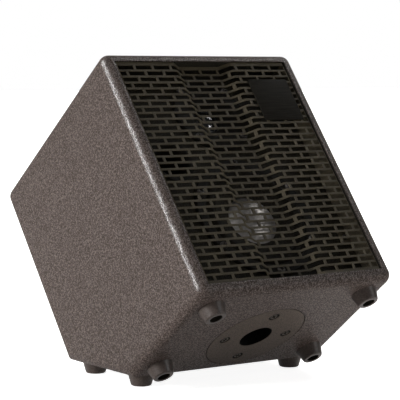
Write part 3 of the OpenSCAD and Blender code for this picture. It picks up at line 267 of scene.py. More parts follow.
def add_cross(bm, rim, place, arm, half, top):
    """A cross recess whose walls are painted black as shade, within a flat rim of points, which starts on an
    arm of the cross.
    """
    quarters = [Matrix.Rotation(i * math.pi / 2, 4, "Z") for i in range(4)]
    outline = ((arm, half), (half, half), (half, arm))
    corners = [turn @ Vector((x, y, top)) for turn in quarters for x, y in outline]
    loop = [bm.verts.new(place @ at) for at in corners]
    deep = top - CROSS_DEPTH * arm
    floor = [bm.verts.new(place @ Vector((CROSS_TAPER * at.x, CROSS_TAPER * at.y, deep))) for at in corners]
    for i in range(4):
        r = [rim[(4 * i + j) % len(rim)] for j in range(5)]
        c = [loop[(3 * i + j) % len(loop)] for j in range(4)]
        for corner in ((r[0], r[1], c[0]), (r[1], r[2], c[1], c[0]), (r[2], r[3], c[2], c[1]),
                       (r[3], r[4], c[3], c[2])):
            bm.faces.new(corner)
    recess = [bm.faces.new(floor)]
    for i, v in enumerate(loop):
        j = (i + 1) % len(loop)
        recess.append(bm.faces.new((v, loop[j], floor[j], floor[i])))
    # The recess's walls and floor are painted black as shade
    for wall in recess:
        wall.material_index = 1


def round_edges(bm, width, segments=2, edges=None):
    """Rounds the hard edges of a mesh."""
    hard = [e for e in (edges or bm.edges) if e.is_manifold and e.calc_face_angle(0) > HARD_ANGLE]
    bmesh.ops.bevel(
        bm, geom=hard, offset=width, offset_type="OFFSET", affect="EDGES", segments=segments,
        profile=0.5, material=-1, clamp_overlap=True)


def softened(node, width, segments=2):
    """A copy of a solid whose hard edges are rounded."""
    bm = merged_copy(node)
    bmesh.ops.dissolve_limit(bm, angle_limit=FLAT_ANGLE, verts=bm.verts, edges=bm.edges)
    round_edges(bm, width, segments)
    return bm


def new_object(name, bm, materials):
    """A shaded object at the origin from a mesh that is in its place."""
    bmesh.ops.recalc_face_normals(bm, faces=bm.faces)
    for face in bm.faces:
        face.smooth = True
    for edge in bm.edges:
        edge.smooth = edge.is_manifold and edge.calc_face_angle(0) < HARD_ANGLE
    mesh = bpy.data.meshes.new(name)
    bm.to_mesh(mesh)
    bm.free()
    for material in materials:
        mesh.materials.append(material)
    made = bpy.data.objects.new(name, mesh)
    bpy.context.scene.collection.objects.link(made)
    return made


def add_piece(name, bm, slots, body, replaced=()):
    """A finished piece of the object that rides on a body; its faces use the slots in order."""
    made = new_object(name, bm, [finish_of(slot) for slot in slots])
    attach(made, body)
    if replaced:
        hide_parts(*replaced)
    return made


# Steps round each sector of a soft ring
SECTOR_STEPS = 4


def add_soft_ring(name, node, profile, slot, sectors):
    """A ring of soft sectors, each a closed turned solid, in place of a solid of the front."""
    middle, _ = turned(solid_points(FRONT, node))
    sweep = math.tau / sectors
    for i in range(sectors):
        bm = bmesh.new()
        add_spun(bm, profile, SECTOR_STEPS, on_face(FRONT, middle, (i - 0.5) * sweep), sweep, closed=True)
        made = new_object(f"{name}_{i + 1:02d}", bm, [finish_of(slot)])
        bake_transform(made)
        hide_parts(node)


# Materials
def new_material(name, roughness, metallic=0.0, sockets=()):
    """A material with one main shader, whose plain values go on its sockets."""
    material = bpy.data.materials.new(name)
    material.use_nodes = True
    shader = material.node_tree.nodes["Principled BSDF"]
    shader.inputs["Roughness"].default_value = roughness
    shader.inputs["Metallic"].default_value = metallic
    for key, value in dict(sockets).items():
        shader.inputs[key].default_value = value
    return material


def add_node(material, kind, inputs=(), **settings):
    """A node whose inputs are values or other nodes' outputs."""
    tree = material.node_tree
    made = tree.nodes.new(kind)
    for key, value in settings.items():
        setattr(made, key, value)
    for key, value in dict(inputs).items():
        if isinstance(value, bpy.types.NodeSocket):
            tree.links.new(value, made.inputs[key])
        else:
            made.inputs[key].default_value = value
    return made


def to_shader(material, socket, output):
    """Links an output to the main shader."""
    tree = material.node_tree
    tree.links.new(output, tree.nodes["Principled BSDF"].inputs[socket])


def coords(material, scale=(1, 1, 1), turn=(0, 0, 0)):
    """Object coordinates, stretched and turned."""
    place = add_node(material, "ShaderNodeTexCoord").outputs["Object"]
    inputs = {"Vector": place, "Scale": scale, "Rotation": turn}
    return add_node(material, "ShaderNodeMapping", inputs).outputs[0]


def noise(material, size, detail=3.0, place=None):
    """Cloudy noise whose grains are about that many metres across."""
    inputs = {"Vector": place or coords(material), "Scale": 1 / size, "Detail": detail}
    return add_node(material, "ShaderNodeTexNoise", inputs).outputs[0]


def bands(material, size, place=None, direction="X"):
    """Even waves of that many metres."""
    inputs = {"Vector": place or coords(material), "Scale": math.pi / (10 * size)}
    node = add_node(material, "ShaderNodeTexWave", inputs, bands_direction=direction)
    return node.outputs["Fac"]


def ramp(material, factor, *stops):
    """Colours along a factor, as pairs of place and colour."""
    node = add_node(material, "ShaderNodeValToRGB", {"Fac": factor})
    points = node.color_ramp.elements
    while len(points) < len(stops):
        points.new(0.5)
    for point, (place, colour) in zip(points, stops):
        point.position = place
        point.color = (*colour, 1)
    return node.outputs["Color"]


def between(material, factor, low, high, start=0.3, stop=0.7):
    """A number that goes from low to high as a factor goes from start to stop."""
    inputs = {"Value": factor, "From Min": start, "From Max": stop, "To Min": low, "To Max": high}
    return add_node(material, "ShaderNodeMapRange", inputs).outputs[0]


def arithmetic(material, operation, *values):
    """A number from factors and other numbers."""
    return add_node(material, "ShaderNodeMath", dict(enumerate(values)), operation=operation).outputs[0]


def sum_of(material, first, second, share):
    """One factor plus a share of another."""
    return arithmetic(material, "MULTIPLY_ADD", second, share, first)


def raise_surface(material, height, distance, socket="Normal"):
    """Relief of that many metres."""
    inputs = {"Height": height, "Distance": distance}
    to_shader(material, socket, add_node(material, "ShaderNodeBump", inputs).outputs[0])


def shaded(material, factor, shades, relief=0, rough=(), patches=None):
    """Colour and relief along one factor, and roughness along it or along patches."""
    to_shader(material, "Base Color", ramp(material, factor, *shades))
    if rough:
        to_shader(material, "Roughness", between(material, patches or factor, *rough))
    if relief:
        raise_surface(material, factor, relief)
    return material


Mottle = namedtuple("Mottle", "dark light grain rough relief metal shine", defaults=(0, 0.5))

# Finishes that vary with one grain: two shades, its size in millimetres, roughness, relief in millimetres
MOTTLED = {
    "baffle_black": Mottle((0.030, 0.027, 0.018), (0.060, 0.053, 0.036), 1.2, (0.55, 0.75), 0.15, 0, 0.03),
    "grille_paint": Mottle((0.099, 0.082, 0.054), (0.166, 0.139, 0.093), 0.7, (0.50, 0.66), 0.05, 0, 0.04),
    "screw_steel": Mottle((0.030, 0.027, 0.024), (0.072, 0.065, 0.060), 0.9, (0.48, 0.62), 0.03, 1),
    "painted_steel": Mottle((0.088, 0.070, 0.056), (0.150, 0.121, 0.098), 1.2, (0.40, 0.54), 0.05, 0, 0.15),
    "foot_rubber": Mottle((0.070, 0.052, 0.044), (0.116, 0.090, 0.078), 1.6, (0.32, 0.46), 0.08, 0, 0.25),
    "strap_rubber": Mottle((0.014, 0.013, 0.012), (0.030, 0.028, 0.026), 0.8, (0.50, 0.68), 0.06, 0, 0.15),
    "black_plastic": Mottle((0.015, 0.013, 0.010), (0.029, 0.025, 0.019), 0.6, (0.50, 0.66), 0.04, 0, 0.04),
    "dust_cap": Mottle((0.165, 0.155, 0.144), (0.225, 0.212, 0.198), 2.5, (0.42, 0.48), 0.015, 1),
    "surround_rubber": Mottle((0.020, 0.018, 0.013), (0.040, 0.035, 0.026), 1.5, (0.55, 0.70), 0.03, 0, 0.03),
    "motor_steel": Mottle((0.420, 0.420, 0.440), (0.620, 0.620, 0.640), 2.0, (0.26, 0.42), 0.02, 1),
    "ferrite": Mottle((0.028, 0.028, 0.030), (0.060, 0.060, 0.064), 1.4, (0.55, 0.72), 0.08),
    "lead_sleeve": Mottle((0.014, 0.014, 0.014), (0.026, 0.026, 0.026), 1.0, (0.40, 0.55), 0.03),
    "panel_paint": Mottle((0.014, 0.014, 0.014), (0.030, 0.029, 0.028), 0.8, (0.42, 0.60), 0.07, 0, 0.2),
    "knob_plastic": Mottle((0.014, 0.014, 0.015), (0.028, 0.028, 0.029), 0.7, (0.34, 0.48), 0.03, 0, 0.3),
    "button_plastic": Mottle((0.160, 0.150, 0.140), (0.220, 0.210, 0.200), 0.8, (0.35, 0.50), 0.02),
    "white_ink": Mottle((0.620, 0.620, 0.600), (0.800, 0.800, 0.780), 0.5, (0.50, 0.65), 0.01),
    "contact_metal": Mottle((0.280, 0.270, 0.250), (0.420, 0.405, 0.380), 1.0, (0.26, 0.40), 0.01, 1),
}

# Stops of the two shades along a grain, and the size of patches of gloss in grains
GRAIN_STOPS = (0.32, 0.68)
PATCH_GRAINS = 12


def mottled(name):
    """A finish from the list above."""
    look = MOTTLED[name]
    material = new_material(name, look.rough[0], look.metal, {"Specular IOR Level": look.shine})
    grain = look.grain * MM
    shades = zip(GRAIN_STOPS, (look.dark, look.light))
    patches = noise(material, PATCH_GRAINS * grain, 2)
    return shaded(material, noise(material, grain), shades, look.relief * MM, look.rough, patches)


# Structured paint: stops of its shades along the drops' height, dark in the dips as painted shade and light
# on the tops as painted light, share of the small specks, where they turn glossy, relief of the coat
PAINT_STOPS = (0.60, 0.75, 0.92)
SPECK_SHARE = 0.5
GLOSSY_SPECKS = (0.48, 0.60)
COAT_RELIEF = 1 / 3


def spattered(name, shades, relief, gloss):
    """Structured paint: sprayed drops, some of them glossy, on a matt coat, with painted shade in the dips
    between drops and painted light on their tops.
    """
    look = bpy.context.scene.monitor_look
    material = new_material(name, 0.5, 0, {"Specular IOR Level": 0.04, "Coat Roughness": 0.21})
    drops = noise(material, look.drop_size, 2)
    specks = noise(material, look.drop_size / 2, 2)
    coat = sum_of(material, drops, specks, SPECK_SHARE)
    to_shader(material, "Coat Weight", between(material, specks, 0, gloss, *GLOSSY_SPECKS))
    raise_surface(material, coat, COAT_RELIEF * relief, "Coat Normal")
    return shaded(material, coat, zip(PAINT_STOPS, shades), relief, (0.4, 0.65), specks)


def blacken(material, factor, black):
    """Turns the paint to a matt black where a factor is one."""
    shader = material.node_tree.nodes["Principled BSDF"]
    painted, gloss = (shader.inputs[key].links[0].from_socket for key in ("Base Color", "Coat Weight"))
    mix = add_node(
        material, "ShaderNodeMix", {"Factor": factor, 6: painted, 7: (*black, 1)}, data_type="RGBA")
    to_shader(material, "Base Color", mix.outputs[2])
    bare = between(material, factor, 1, 0, 0, 1)
    to_shader(material, "Coat Weight", arithmetic(material, "MULTIPLY", gloss, bare))


# Gloss of the paint's specks, and the black of the front's opening, which fades this far beyond the grille
CABINET_GLOSS = 0.42
FRONT_BLACK = (0.030, 0.027, 0.020)
FRONT_FADE = (0.6 * MM, 1.2 * MM)


def upright(material):
    """X, Y and Z of the upright cabinet."""
    return add_node(material, "ShaderNodeSeparateXYZ", {"Vector": coords(material, turn=UPRIGHT)}).outputs


def cabinet_paint(name):
    """Warm grey structured paint on the plywood, which is black within the front's opening."""
    look = bpy.context.scene.monitor_look
    # Painted shade in the drops' dips, the paint's own colour, and painted light on their tops
    shades = look.paint_shaded_dips, look.paint_colour, look.paint_lit_tops
    material = spattered(name, shades, look.drop_relief, CABINET_GLOSS)
    low, high = seat_box(FRONT, "front_grille")
    middle, half = (low + high) / 2, (high - low) / 2
    place = upright(material)
    inside = None
    for axis, at, reach in (("X", middle.x, half.x), ("Y", -middle.z, half.z), ("Z", middle.y, half.y)):
        away = arithmetic(material, "ABSOLUTE", arithmetic(material, "SUBTRACT", place[axis], at))
        near = between(material, away, 1, 0, *(reach + edge for edge in FRONT_FADE))
        inside = arithmetic(material, "MULTIPLY", inside, near) if inside else near
    blacken(material, inside, FRONT_BLACK)
    return material


# The socket's paint: shares of the cabinet's colour, dark to light as painted shade and painted light of the
# drops, its tint, gloss and relief, and the black of painted shade in the bore and the screws' seats, which
# deepens over these depths below the face
SOCKET_SHADES = (0.95, 1.25, 1.6)
SOCKET_TINT = Vector((0.96, 1.0, 0.93))
SOCKET_GLOSS = 0.2
SOCKET_RELIEF = 1 / 3
HOLLOW_SHADE_BLACK = (0.004, 0.004, 0.004)
HOLLOW_SHADE_DEPTHS = (0.1 * MM, 0.7 * MM)


def socket_paint(name):
    """The same paint, thinner, on the pole socket, turned matt black below its face as painted shade that
    deepens in the bore and the screws' seats.
    """
    look = bpy.context.scene.monitor_look
    shades = [SOCKET_TINT * Vector(look.paint_colour) * share for share in SOCKET_SHADES]
    material = spattered(name, shades, SOCKET_RELIEF * look.drop_relief, SOCKET_GLOSS)
    face = -seat_box(BOTTOM, "pole_socket")[1].z
    inside = between(material, upright(material)["Z"], 0, 1, *(face + depth for depth in HOLLOW_SHADE_DEPTHS))
    blacken(material, inside, HOLLOW_SHADE_BLACK)
    return material


def badge_plate(name):
    """Black lacquer with fine brushed lines."""
    material = new_material(name, 0.5, 0, {"Specular IOR Level": 0.008})
    lines = noise(material, 1.2 * MM, 4, coords(material, (0.05, 1, 1)))
    shades = ((0.3, (0.018, 0.016, 0.012)), (0.7, (0.034, 0.030, 0.023)))
    return shaded(material, lines, shades, 0.005 * MM, (0.42, 0.56))


def batten_wood(name):
    """Planed softwood."""
    material = new_material(name, 0.6)
    rings = noise(material, 4 * MM, 4, coords(material, (1, 1, 0.08), UPRIGHT))
    shades = ((0.3, (0.42, 0.26, 0.12)), (0.5, (0.58, 0.40, 0.21)), (0.72, (0.68, 0.50, 0.29)))
    return shaded(material, rings, shades, 0.1 * MM)


def woven(name, dark, light, thread, rough, relief):
    """Cloth with crossing threads."""
    material = new_material(name, rough)
    across, up = (bands(material, thread, direction=axis) for axis in "XZ")
    return shaded(material, sum_of(material, across, up, 1.0), ((0.3, dark), (0.9, light)), relief)


def spider_cloth(name):
    """Resin-dipped yellow cloth of the spider."""
    return woven(name, (0.30, 0.16, 0.05), (0.62, 0.38, 0.14), 0.7 * MM, 0.75, 0.08 * MM)


def dome_fabric(name):
    """Coated black cloth of the tweeter's dome."""
    return woven(name, (0.006, 0.006, 0.006), (0.016, 0.016, 0.016), 0.35 * MM, 0.12, 0.005 * MM)


def cone_paper(name):
    """Pressed paper with short fibres."""
    material = new_material(name, 0.7, 0, {"Specular IOR Level": 0.04})
    fibres = noise(material, 0.9 * MM, 6, coords(material, (1, 0.35, 0.35)))
    shades = ((0.35, (0.028, 0.025, 0.018)), (0.65, (0.062, 0.055, 0.040)))
    return shaded(material, fibres, shades, 0.12 * MM, (0.6, 0.8))


def copper_wire(name):
    """Enamelled wire, turn beside turn."""
    material = new_material(name, 0.3, 1)
    turns = bands(material, 0.35 * MM, coords(material, turn=UPRIGHT), "Y")
    shades = ((0.1, (0.30, 0.12, 0.04)), (0.6, (0.78, 0.38, 0.15)))
    return shaded(material, turns, shades, 0.08 * MM)


def circuit_board(name):
    """Green lacquer over copper tracks."""
    material = new_material(name, 0.35)
    place = coords(material, turn=UPRIGHT)
    tracks = add_node(
        material, "ShaderNodeTexBrick",
        {"Vector": place, "Scale": 90.0, "Mortar Size": 0.05, "Color1": (0.012, 0.085, 0.040, 1),
         "Color2": (0.016, 0.105, 0.048, 1), "Mortar": (0.045, 0.20, 0.07, 1)})
    to_shader(material, "Base Color", tracks.outputs["Color"])
    to_shader(material, "Roughness", between(material, noise(material, 6 * MM), 0.28, 0.45))
    raise_surface(material, tracks.outputs["Fac"], 0.05 * MM)
    return material


def transformer(name):
    """Clear yellow tape wound round the ring."""
    material = new_material(name, 0.28)
    wraps, cloud = bands(material, 3 * MM), noise(material, 5 * MM)
    shades = ((0.2, (0.34, 0.17, 0.04)), (0.7, (0.62, 0.36, 0.09)))
    return shaded(material, wraps, shades, 0.2 * MM, (0.22, 0.40), cloud)


def lamp_lens(name):
    """Tinted diffusing plastic."""
    material = new_material(name, 0.2, 0, {"Transmission Weight": 0.4, "IOR": 1.49})
    shades = ((0.3, (0.05, 0.42, 0.12)), (0.7, (0.10, 0.60, 0.20)))
    return shaded(material, noise(material, 1.5 * MM, 2), shades, rough=(0.15, 0.28))


SPECIAL = {finish.__name__: finish for finish in (
    cabinet_paint, socket_paint, badge_plate, batten_wood, spider_cloth, dome_fabric, cone_paper,
    copper_wire, circuit_board, transformer, lamp_lens)}

made_finishes = {}


def finish_of(slot):
    """The material of a slot, made when it is first asked for."""
    if slot not in made_finishes:
        made_finishes[slot] = SPECIAL.get(slot, mottled)(slot)
    return made_finishes[slot]


# Settings
def colour(name, description, default):
    """A setting that is a colour."""
    return bpy.props.FloatVectorProperty(
        name=name, description=description, subtype="COLOR", size=3, min=0, max=1, default=default)


def length(name, description, default):
    """A setting that is a length."""
    return bpy.props.FloatProperty(
        name=name, description=description, unit="LENGTH", min=0, precision=5, default=default)


def degrees(name, description, default):
    """A setting that is an angle, with its default in degrees."""
    return bpy.props.FloatProperty(
        name=name, description=description, subtype="ANGLE", default=math.radians(default))


def power(name, description, default):
    """A setting that is a strength of light."""
    return bpy.props.FloatProperty(
        name=name, description=description, subtype="UNSIGNED", min=0, default=default)


class MonitorLook(bpy.types.PropertyGroup):
    """Colours and small sizes of the object's finishes and details."""

    # Shades of the paint along its drops: painted shade in the dips, its own colour, and painted light on the
    # tops
    paint_shaded_dips: colour("Paint dark", "Paint between the drops", (0.056, 0.040, 0.033))
    paint_colour: colour("Paint", "Paint of the cabinet", (0.110, 0.082, 0.071))
    paint_lit_tops: colour("Paint light", "Tops of the paint's drops", (0.236, 0.186, 0.165))
    drop_size: length("Drop size", "Size of the drops in the structured paint", 1.5 * MM)
    drop_relief: length("Drop relief", "Height of the drops in the structured paint", 0.8 * MM)
    edge_round: length("Edge rounding", "Rounding of moulded edges", 0.6 * MM)
    strap_round: length("Strap rounding", "Rounding of the strap's edges", 1.2 * MM)
    rib_pitch: length("Rib pitch", "Distance from rib to rib on the strap", 3 * MM)
    rib_height: length("Rib height", "Height of the strap's ribs", 0.6 * MM)
    mouth_gain: length("Foot mouth", "Gain in radius of the screw recess of a foot", 1 * MM)


class MonitorStudio(bpy.types.PropertyGroup):
    """Camera, lamps and floor."""

    azimuth: degrees("Azimuth", "Turn of the camera round the object", -35.433)
    elevation: degrees("Elevation", "Height of the camera over the horizon", 4.452)
    roll: degrees("Roll", "Turn of the camera about its own axis", 0.104)
    distance: length("Distance", "Distance of the camera from the point it looks at", 1.8072)
    aim: bpy.props.FloatVectorProperty(
        name="Aim", description="Point that the camera looks at", subtype="TRANSLATION",
        default=(0.00794, -0.00424, 0.18381))
    lens: bpy.props.FloatProperty(
        name="Lens", description="Focal length on a 36 mm sensor", unit="CAMERA", default=150.74)
    key_strength: power("Key light", "Strength of the soft light from the left", 1.94)
    fill_strength: power("Fill light", "Strength of the soft light from behind on the right", 2.9)
    card_strength: power("Cards", "Strength of the cards that gloss mirrors", 1.0)
    sky: power("Sky", "Strength of the even light from all round", 0.06)
    floor_colour: colour("Floor", "Colour of the floor", (0.92, 0.91, 0.90))
    floor_glow: power("Floor glow", "White that the camera sees added to the floor", 0.92)
    floor_size: length("Floor size", "Side of the floor", 40)


# Pieces
KNOBS = ("channel_1_knob", "channel_2_knob", "bass_knob", "treble_knob", "master_knob")


class MONITOR_OT_solids(bpy.types.Operator):
    """Gives every solid of the frame the finish of its slot"""

    bl_idname = "monitor.solids"
    bl_label = "Finish the solids"

    def execute(self, context):
        for part in frame["record"]["subparts"]:
            solid = frame["nodes"][part["node"]]
            solid.data.materials.clear()
            solid.data.materials.append(finish_of(part["material_slot"]))
        return {"FINISHED"}


class MONITOR_OT_screws(bpy.types.Operator):
    """Makes every screw with a head and a cross recess"""

    bl_idname = "monitor.screws"
    bl_label = "Make the screws"

    # Angle between the crosses of neighbouring screws
    TURN = 0.7
    FACES = (
        ("grille_screws", (FRONT,), "screw_steel"), ("woofer_screws", (FRONT,), "screw_steel"),
        ("tweeter_screws", (FRONT,), "screw_steel"), ("pole_socket_screws", (BOTTOM,), "painted_steel"),
        ("foot_screws", (BOTTOM, WEDGE), "screw_steel"), ("handle_screws", (TOP,), "screw_steel"),
        ("amp_panel_screws", (BACK,), "screw_steel"),
    )

    def execute(self, context):
        for node, faces, finish in self.FACES:
            bm = bmesh.new()
            for face in faces:
                for i, seat in enumerate(screw_seats(face, node)):
                    add_screw(bm, on_face(face, seat.middle, self.TURN * i), seat)
            add_piece(f"{node}_cross_head", bm, [finish, "black_plastic"], "cabinet", [node])
        return {"FINISHED"}


class MONITOR_OT_feet(bpy.types.Operator):
    """Makes the tapered rubber feet, whose screw recess is wide at its mouth and painted black inside as
    shade
    """

    bl_idname = "monitor.feet"
    bl_label = "Make the feet"

    # Sides of a foot, and the digits that its measures are rounded to
    SIDES, DIGITS = 32, 5

    def execute(self, context):
        wider = context.scene.monitor_look.mouth_gain
        for node, face in (("bottom_feet", BOTTOM), ("wedge_feet", WEDGE)):
            bm = bmesh.new()
            for points in islands(node):
                self.add_foot(bm, face, seen_from(face, points), wider)
            add_piece(f"{node}_turned", bm, ["foot_rubber", "black_plastic"], "cabinet", [node])
        return {"FINISHED"}

    def add_foot(self, bm, face, points, wider):
        """Turns a foot from the radii and heights of its solid, with a wider mouth."""
        low, high = (corner.z for corner in box_of(points))
        middle, measured = turned(points)
        rings = {(round(r, self.DIGITS), round(z, self.DIGITS)) for r, z in measured}
        bore = min(r for r, z in rings)
        mouth = min(r for r, z in rings if z > high - NEAR) + wider
        seat = max(z for r, z in rings if r < bore + NEAR)
        outer = sorted((at for at in rings if at[0] > mouth + wider), key=lambda at: at[1])
        brink = high - wider / 2
        rim = [(mouth + wider / 2, high), (mouth, brink)]
        place = on_face(face, middle)
        profile = [(bore, low), *outer, *rim, (mouth, seat), (bore, seat)]
        made = add_spun(bm, profile, self.SIDES, place, closed=True)
        back = place.inverted()
        # The recess's walls take the second finish, a black that is painted shade
        for wall in {f for v in made for f in v.link_faces}:
            at = back @ wall.calc_center_median()
            wall.material_index = int(math.hypot(at.x, at.y) < mouth and at.z < brink)


class MONITOR_OT_soft_rings(bpy.types.Operator):
    """Makes the surround, the spider and the tweeter's suspension as rings of soft sectors"""

    bl_idname = "monitor.soft_rings"
    bl_label = "Make the soft rings"

    # Points within this of a rim or a level lie on it
    WITHIN = 0.1 * MM

    def execute(self, context):
        self.add_surround()
        self.add_spider()
        self.add_suspension()
        return {"FINISHED"}

    def add_surround(self):
        """A half roll between two flat lips."""
        skin, steps = 0.8 * MM, 14
        points, inner, outer, low, high = ring_extent("woofer_surround")
        raised = [r for r, z in points if z > low + 1.5 * skin]
        start, stop = min(raised), max(raised)
        middle, radius = ((start + stop) / 2, low + skin / 2), (stop - start) / 2
        squeeze = (high - middle[1]) / radius
        rolls = arc(middle, radius, 170, 10, steps), arc(middle, radius - skin, 0, 180, steps)
        top, under = ([(r, middle[1] + (z - middle[1]) * squeeze) for r, z in roll] for roll in rolls)
        lip = low + 0.6 * skin
        profile = [
            (inner, lip), (inner + skin, low + skin), *top, (outer - skin, low + skin),
            (outer, lip), (outer, low), *under, (inner, low)]
        add_soft_ring(
            "surround", "woofer_surround", profile, "surround_rubber",
            sectors=12)

    def add_spider(self):
        """Waves of cloth between the coil and a flat rim."""
        cloth, waves, steps, rim = 0.5 * MM, 5, 40, 3 * MM
        points, inner, outer, low, high = ring_extent("woofer_spider")
        foot = min(z for r, z in points if r > outer - self.WITHIN)
        level, swing = (low + high) / 2, (high - low) / 2 - cloth
        flat = outer - rim
        shares = [i / steps for i in range(steps + 1)]
        wave = [(inner + (flat - inner) * s, level + swing * math.sin(math.tau * waves * s)) for s in shares]
        profile = [(r, z + cloth / 2) for r, z in wave]
        profile += [(outer, level + cloth / 2), (outer, foot), (flat, foot)]
        profile += [(r, z - cloth / 2) for r, z in reversed(wave)]
        add_soft_ring(
            "spider", "woofer_spider", profile, "spider_cloth",
            sectors=12)

    def add_suspension(self):
        """A small roll of cloth round the dome."""
        cloth, steps, least_roll = 0.3 * MM, 8, 1.2 * MM
        points, inner, outer, low, _ = ring_extent("tweeter_suspension")
        throat = min(r for r, z in points if z < low + self.WITHIN and r > inner + least_roll)
        middle, radius = ((inner + throat) / 2, low + cloth / 2), (throat - inner) / 2
        profile = [
            *arc(middle, radius, 180, 20, steps), (outer, low + 2 * cloth), (outer, low),
            *arc(middle, radius - cloth, 0, 180, steps)]
        add_soft_ring(
            "suspension", "tweeter_suspension", profile, "dome_fabric",
            sectors=8)


class MONITOR_OT_handle(bpy.types.Operator):
    """Makes the ribbed strap and its end caps"""

    bl_idname = "monitor.handle"
    bl_label = "Make the handle"

    def execute(self, context):
        look = context.scene.monitor_look
        flat_share, margin, sink = 0.3, 2 * MM, 0.2 * MM
        bm = softened("handle_strap", look.strap_round)
        low, high = seat_box(TOP, "handle_strap")
        count = 2 * int(flat_share * (high.x - low.x) / 2 / look.rib_pitch) + 1
        half = look.rib_pitch / 4
        for i in range(count):
            x = (i - count // 2) * look.rib_pitch
            rib = add_box(
                bm, (x - half, low.y + margin, high.z - sink),
                (x + half, high.y - margin, high.z + look.rib_height))
            bmesh.ops.transform(bm, matrix=LEAN @ TOP, verts=rib)
        add_piece("ribbed_strap", bm, ["strap_rubber"], "cabinet", ["handle_strap"])
        caps = softened("handle_end_caps", look.edge_round, 3)
        add_piece("strap_caps", caps, ["black_plastic"], "cabinet", ["handle_end_caps"])
        return {"FINISHED"}


class MONITOR_OT_badge(bpy.types.Operator):
    """Makes the bare badge plate with softened edges"""

    bl_idname = "monitor.badge"
    bl_label = "Make the badge plate"

    def execute(self, context):
        plate = softened("badge_plate", context.scene.monitor_look.edge_round / 2, 3)
        add_piece("bare_badge", plate, ["badge_plate"], "cabinet", ["badge_plate"])
        return {"FINISHED"}


class MONITOR_OT_knobs(bpy.types.Operator):
    """Makes the five fluted knobs with their pointers"""

    bl_idname = "monitor.knobs"
    bl_label = "Make the knobs"

    # Rings over the foot and under the top: share of the radius, share that the flutes dip, height or depth
    SKIRT = (
        (0.8, 0, 5 * MM), (0.8, 0, 0), (0.96, 0, 0), (1, 0, 0.4 * MM), (1, 0, 2 * MM), (0.97, 0.06, 2.6 * MM))
    CROWN = ((0.88, 0.06, 1 * MM), (0.82, 0, 0.3 * MM), (0.76, 0, 0))

    def execute(self, context):
        gap, half = 0.6 * MM, 0.5 * MM
        spindle_share, spindle_rise, spindle_sides = 0.36, 6 * MM, 12
        foot = seat_box(BACK, "amp_panel")[1].z + gap
        for node in KNOBS:
            low, high = seat_box(BACK, node)
            radius, top = (high.x - low.x) / 2, high.z
            place = on_face(BACK, (low + high) / 2)
            rings = [(share, dip, foot + rise) for share, dip, rise in self.SKIRT]
            rings += [(share, dip, top - drop) for share, dip, drop in self.CROWN]
            bm = bmesh.new()
            add_rings(bm, [self.ring(share * radius, dip * radius, z) for share, dip, z in rings], place)
            core, end = spindle_share * radius, foot + spindle_rise
            add_spun(bm, [(0, low.z), (core, low.z), (core, end), (0, end)], spindle_sides, place)
            pointer = add_box(
                bm, (-half, 0.2 * radius, top - 0.4 * MM), (half, 0.78 * radius, top + 0.04 * MM), 1)
            pointer += add_box(
                bm, (-half, 0.8 * radius, foot + 2.2 * MM), (half, radius, foot + 2.9 * MM), 1)
            bmesh.ops.transform(bm, matrix=place, verts=pointer)
            add_piece(f"{node}_fluted", bm, ["knob_plastic", "white_ink"], node, [node])
        return {"FINISHED"}

    def ring(self, radius, depth, height, flutes=18, steps=4):
        """A ring of points whose radius dips at each flute."""
        points = []
        for i in range(flutes * steps):
            turn = math.tau * i / (flutes * steps)
            dip = depth * (0.5 - 0.5 * math.cos(flutes * turn))
            points.append(((radius - dip) * math.sin(turn), (radius - dip) * math.cos(turn), height))
        return points


class MONITOR_OT_panel_print(bpy.types.Operator):
    """Prints scales, rings and a bar on the amplifier panel"""

    bl_idname = "monitor.panel_print"
    bl_label = "Print the panel"

    # Height of the ink over the panel, which is also its depth in it
    INK = 0.05 * MM

    def execute(self, context):
        scale_gap, ring_gap = 3.5 * MM, 1.5 * MM
        bar_reach, bar_rise, bar_half = 0.8, 0.34, 0.3 * MM
        low, high = seat_box(BACK, "amp_panel")
        self.bottom, self.top = high.z - self.INK, high.z + self.INK
        bm = bmesh.new()
        for node in KNOBS:
            self.add_scale(bm, *self.outside(node, scale_gap))
        middle, half = (low + high) / 2, (high - low) / 2
        x, y = bar_reach * half.x, middle.y + bar_rise * half.y
        add_box(bm, (middle.x - x, y - bar_half, self.bottom), (middle.x + x, y + bar_half, self.top))
        for node in ("mute_button", "power_lamp"):
            self.add_ring(bm, *self.outside(node, ring_gap))
        bmesh.ops.transform(bm, matrix=LEAN @ BACK, verts=bm.verts)
        add_piece("panel_print", bm, ["white_ink"], "cabinet")
        return {"FINISHED"}

    def outside(self, node, gap):
        """Where a round solid stands on the panel, and a radius that clears it."""
        low, high = seat_box(BACK, node)
        return Matrix.Translation((*((low + high) / 2).xy, 0)), (high.x - low.x) / 2 + gap

    def add_scale(self, bm, place, radius):
        """Ticks round a knob, long at the ends and in the middle."""
        ticks, first, step = 11, math.radians(150), math.radians(30)
        long, short, half = 2.4 * MM, 1.4 * MM, 0.25 * MM
        for i in range(ticks):
            out = radius + (short if i % (ticks // 2) else long)
            tick = add_box(bm, (-half, radius, self.bottom), (half, out, self.top))
            turn = Matrix.Rotation(first - step * i, 4, "Z")
            bmesh.ops.transform(bm, matrix=place @ turn, verts=tick)

    def add_ring(self, bm, place, radius):
        """A printed ring."""
        width, sides = 0.5 * MM, 24
        out = radius + width
        profile = [(radius, self.bottom), (out, self.bottom), (out, self.top), (radius, self.top)]
        add_spun(bm, profile, sides, place, closed=True)


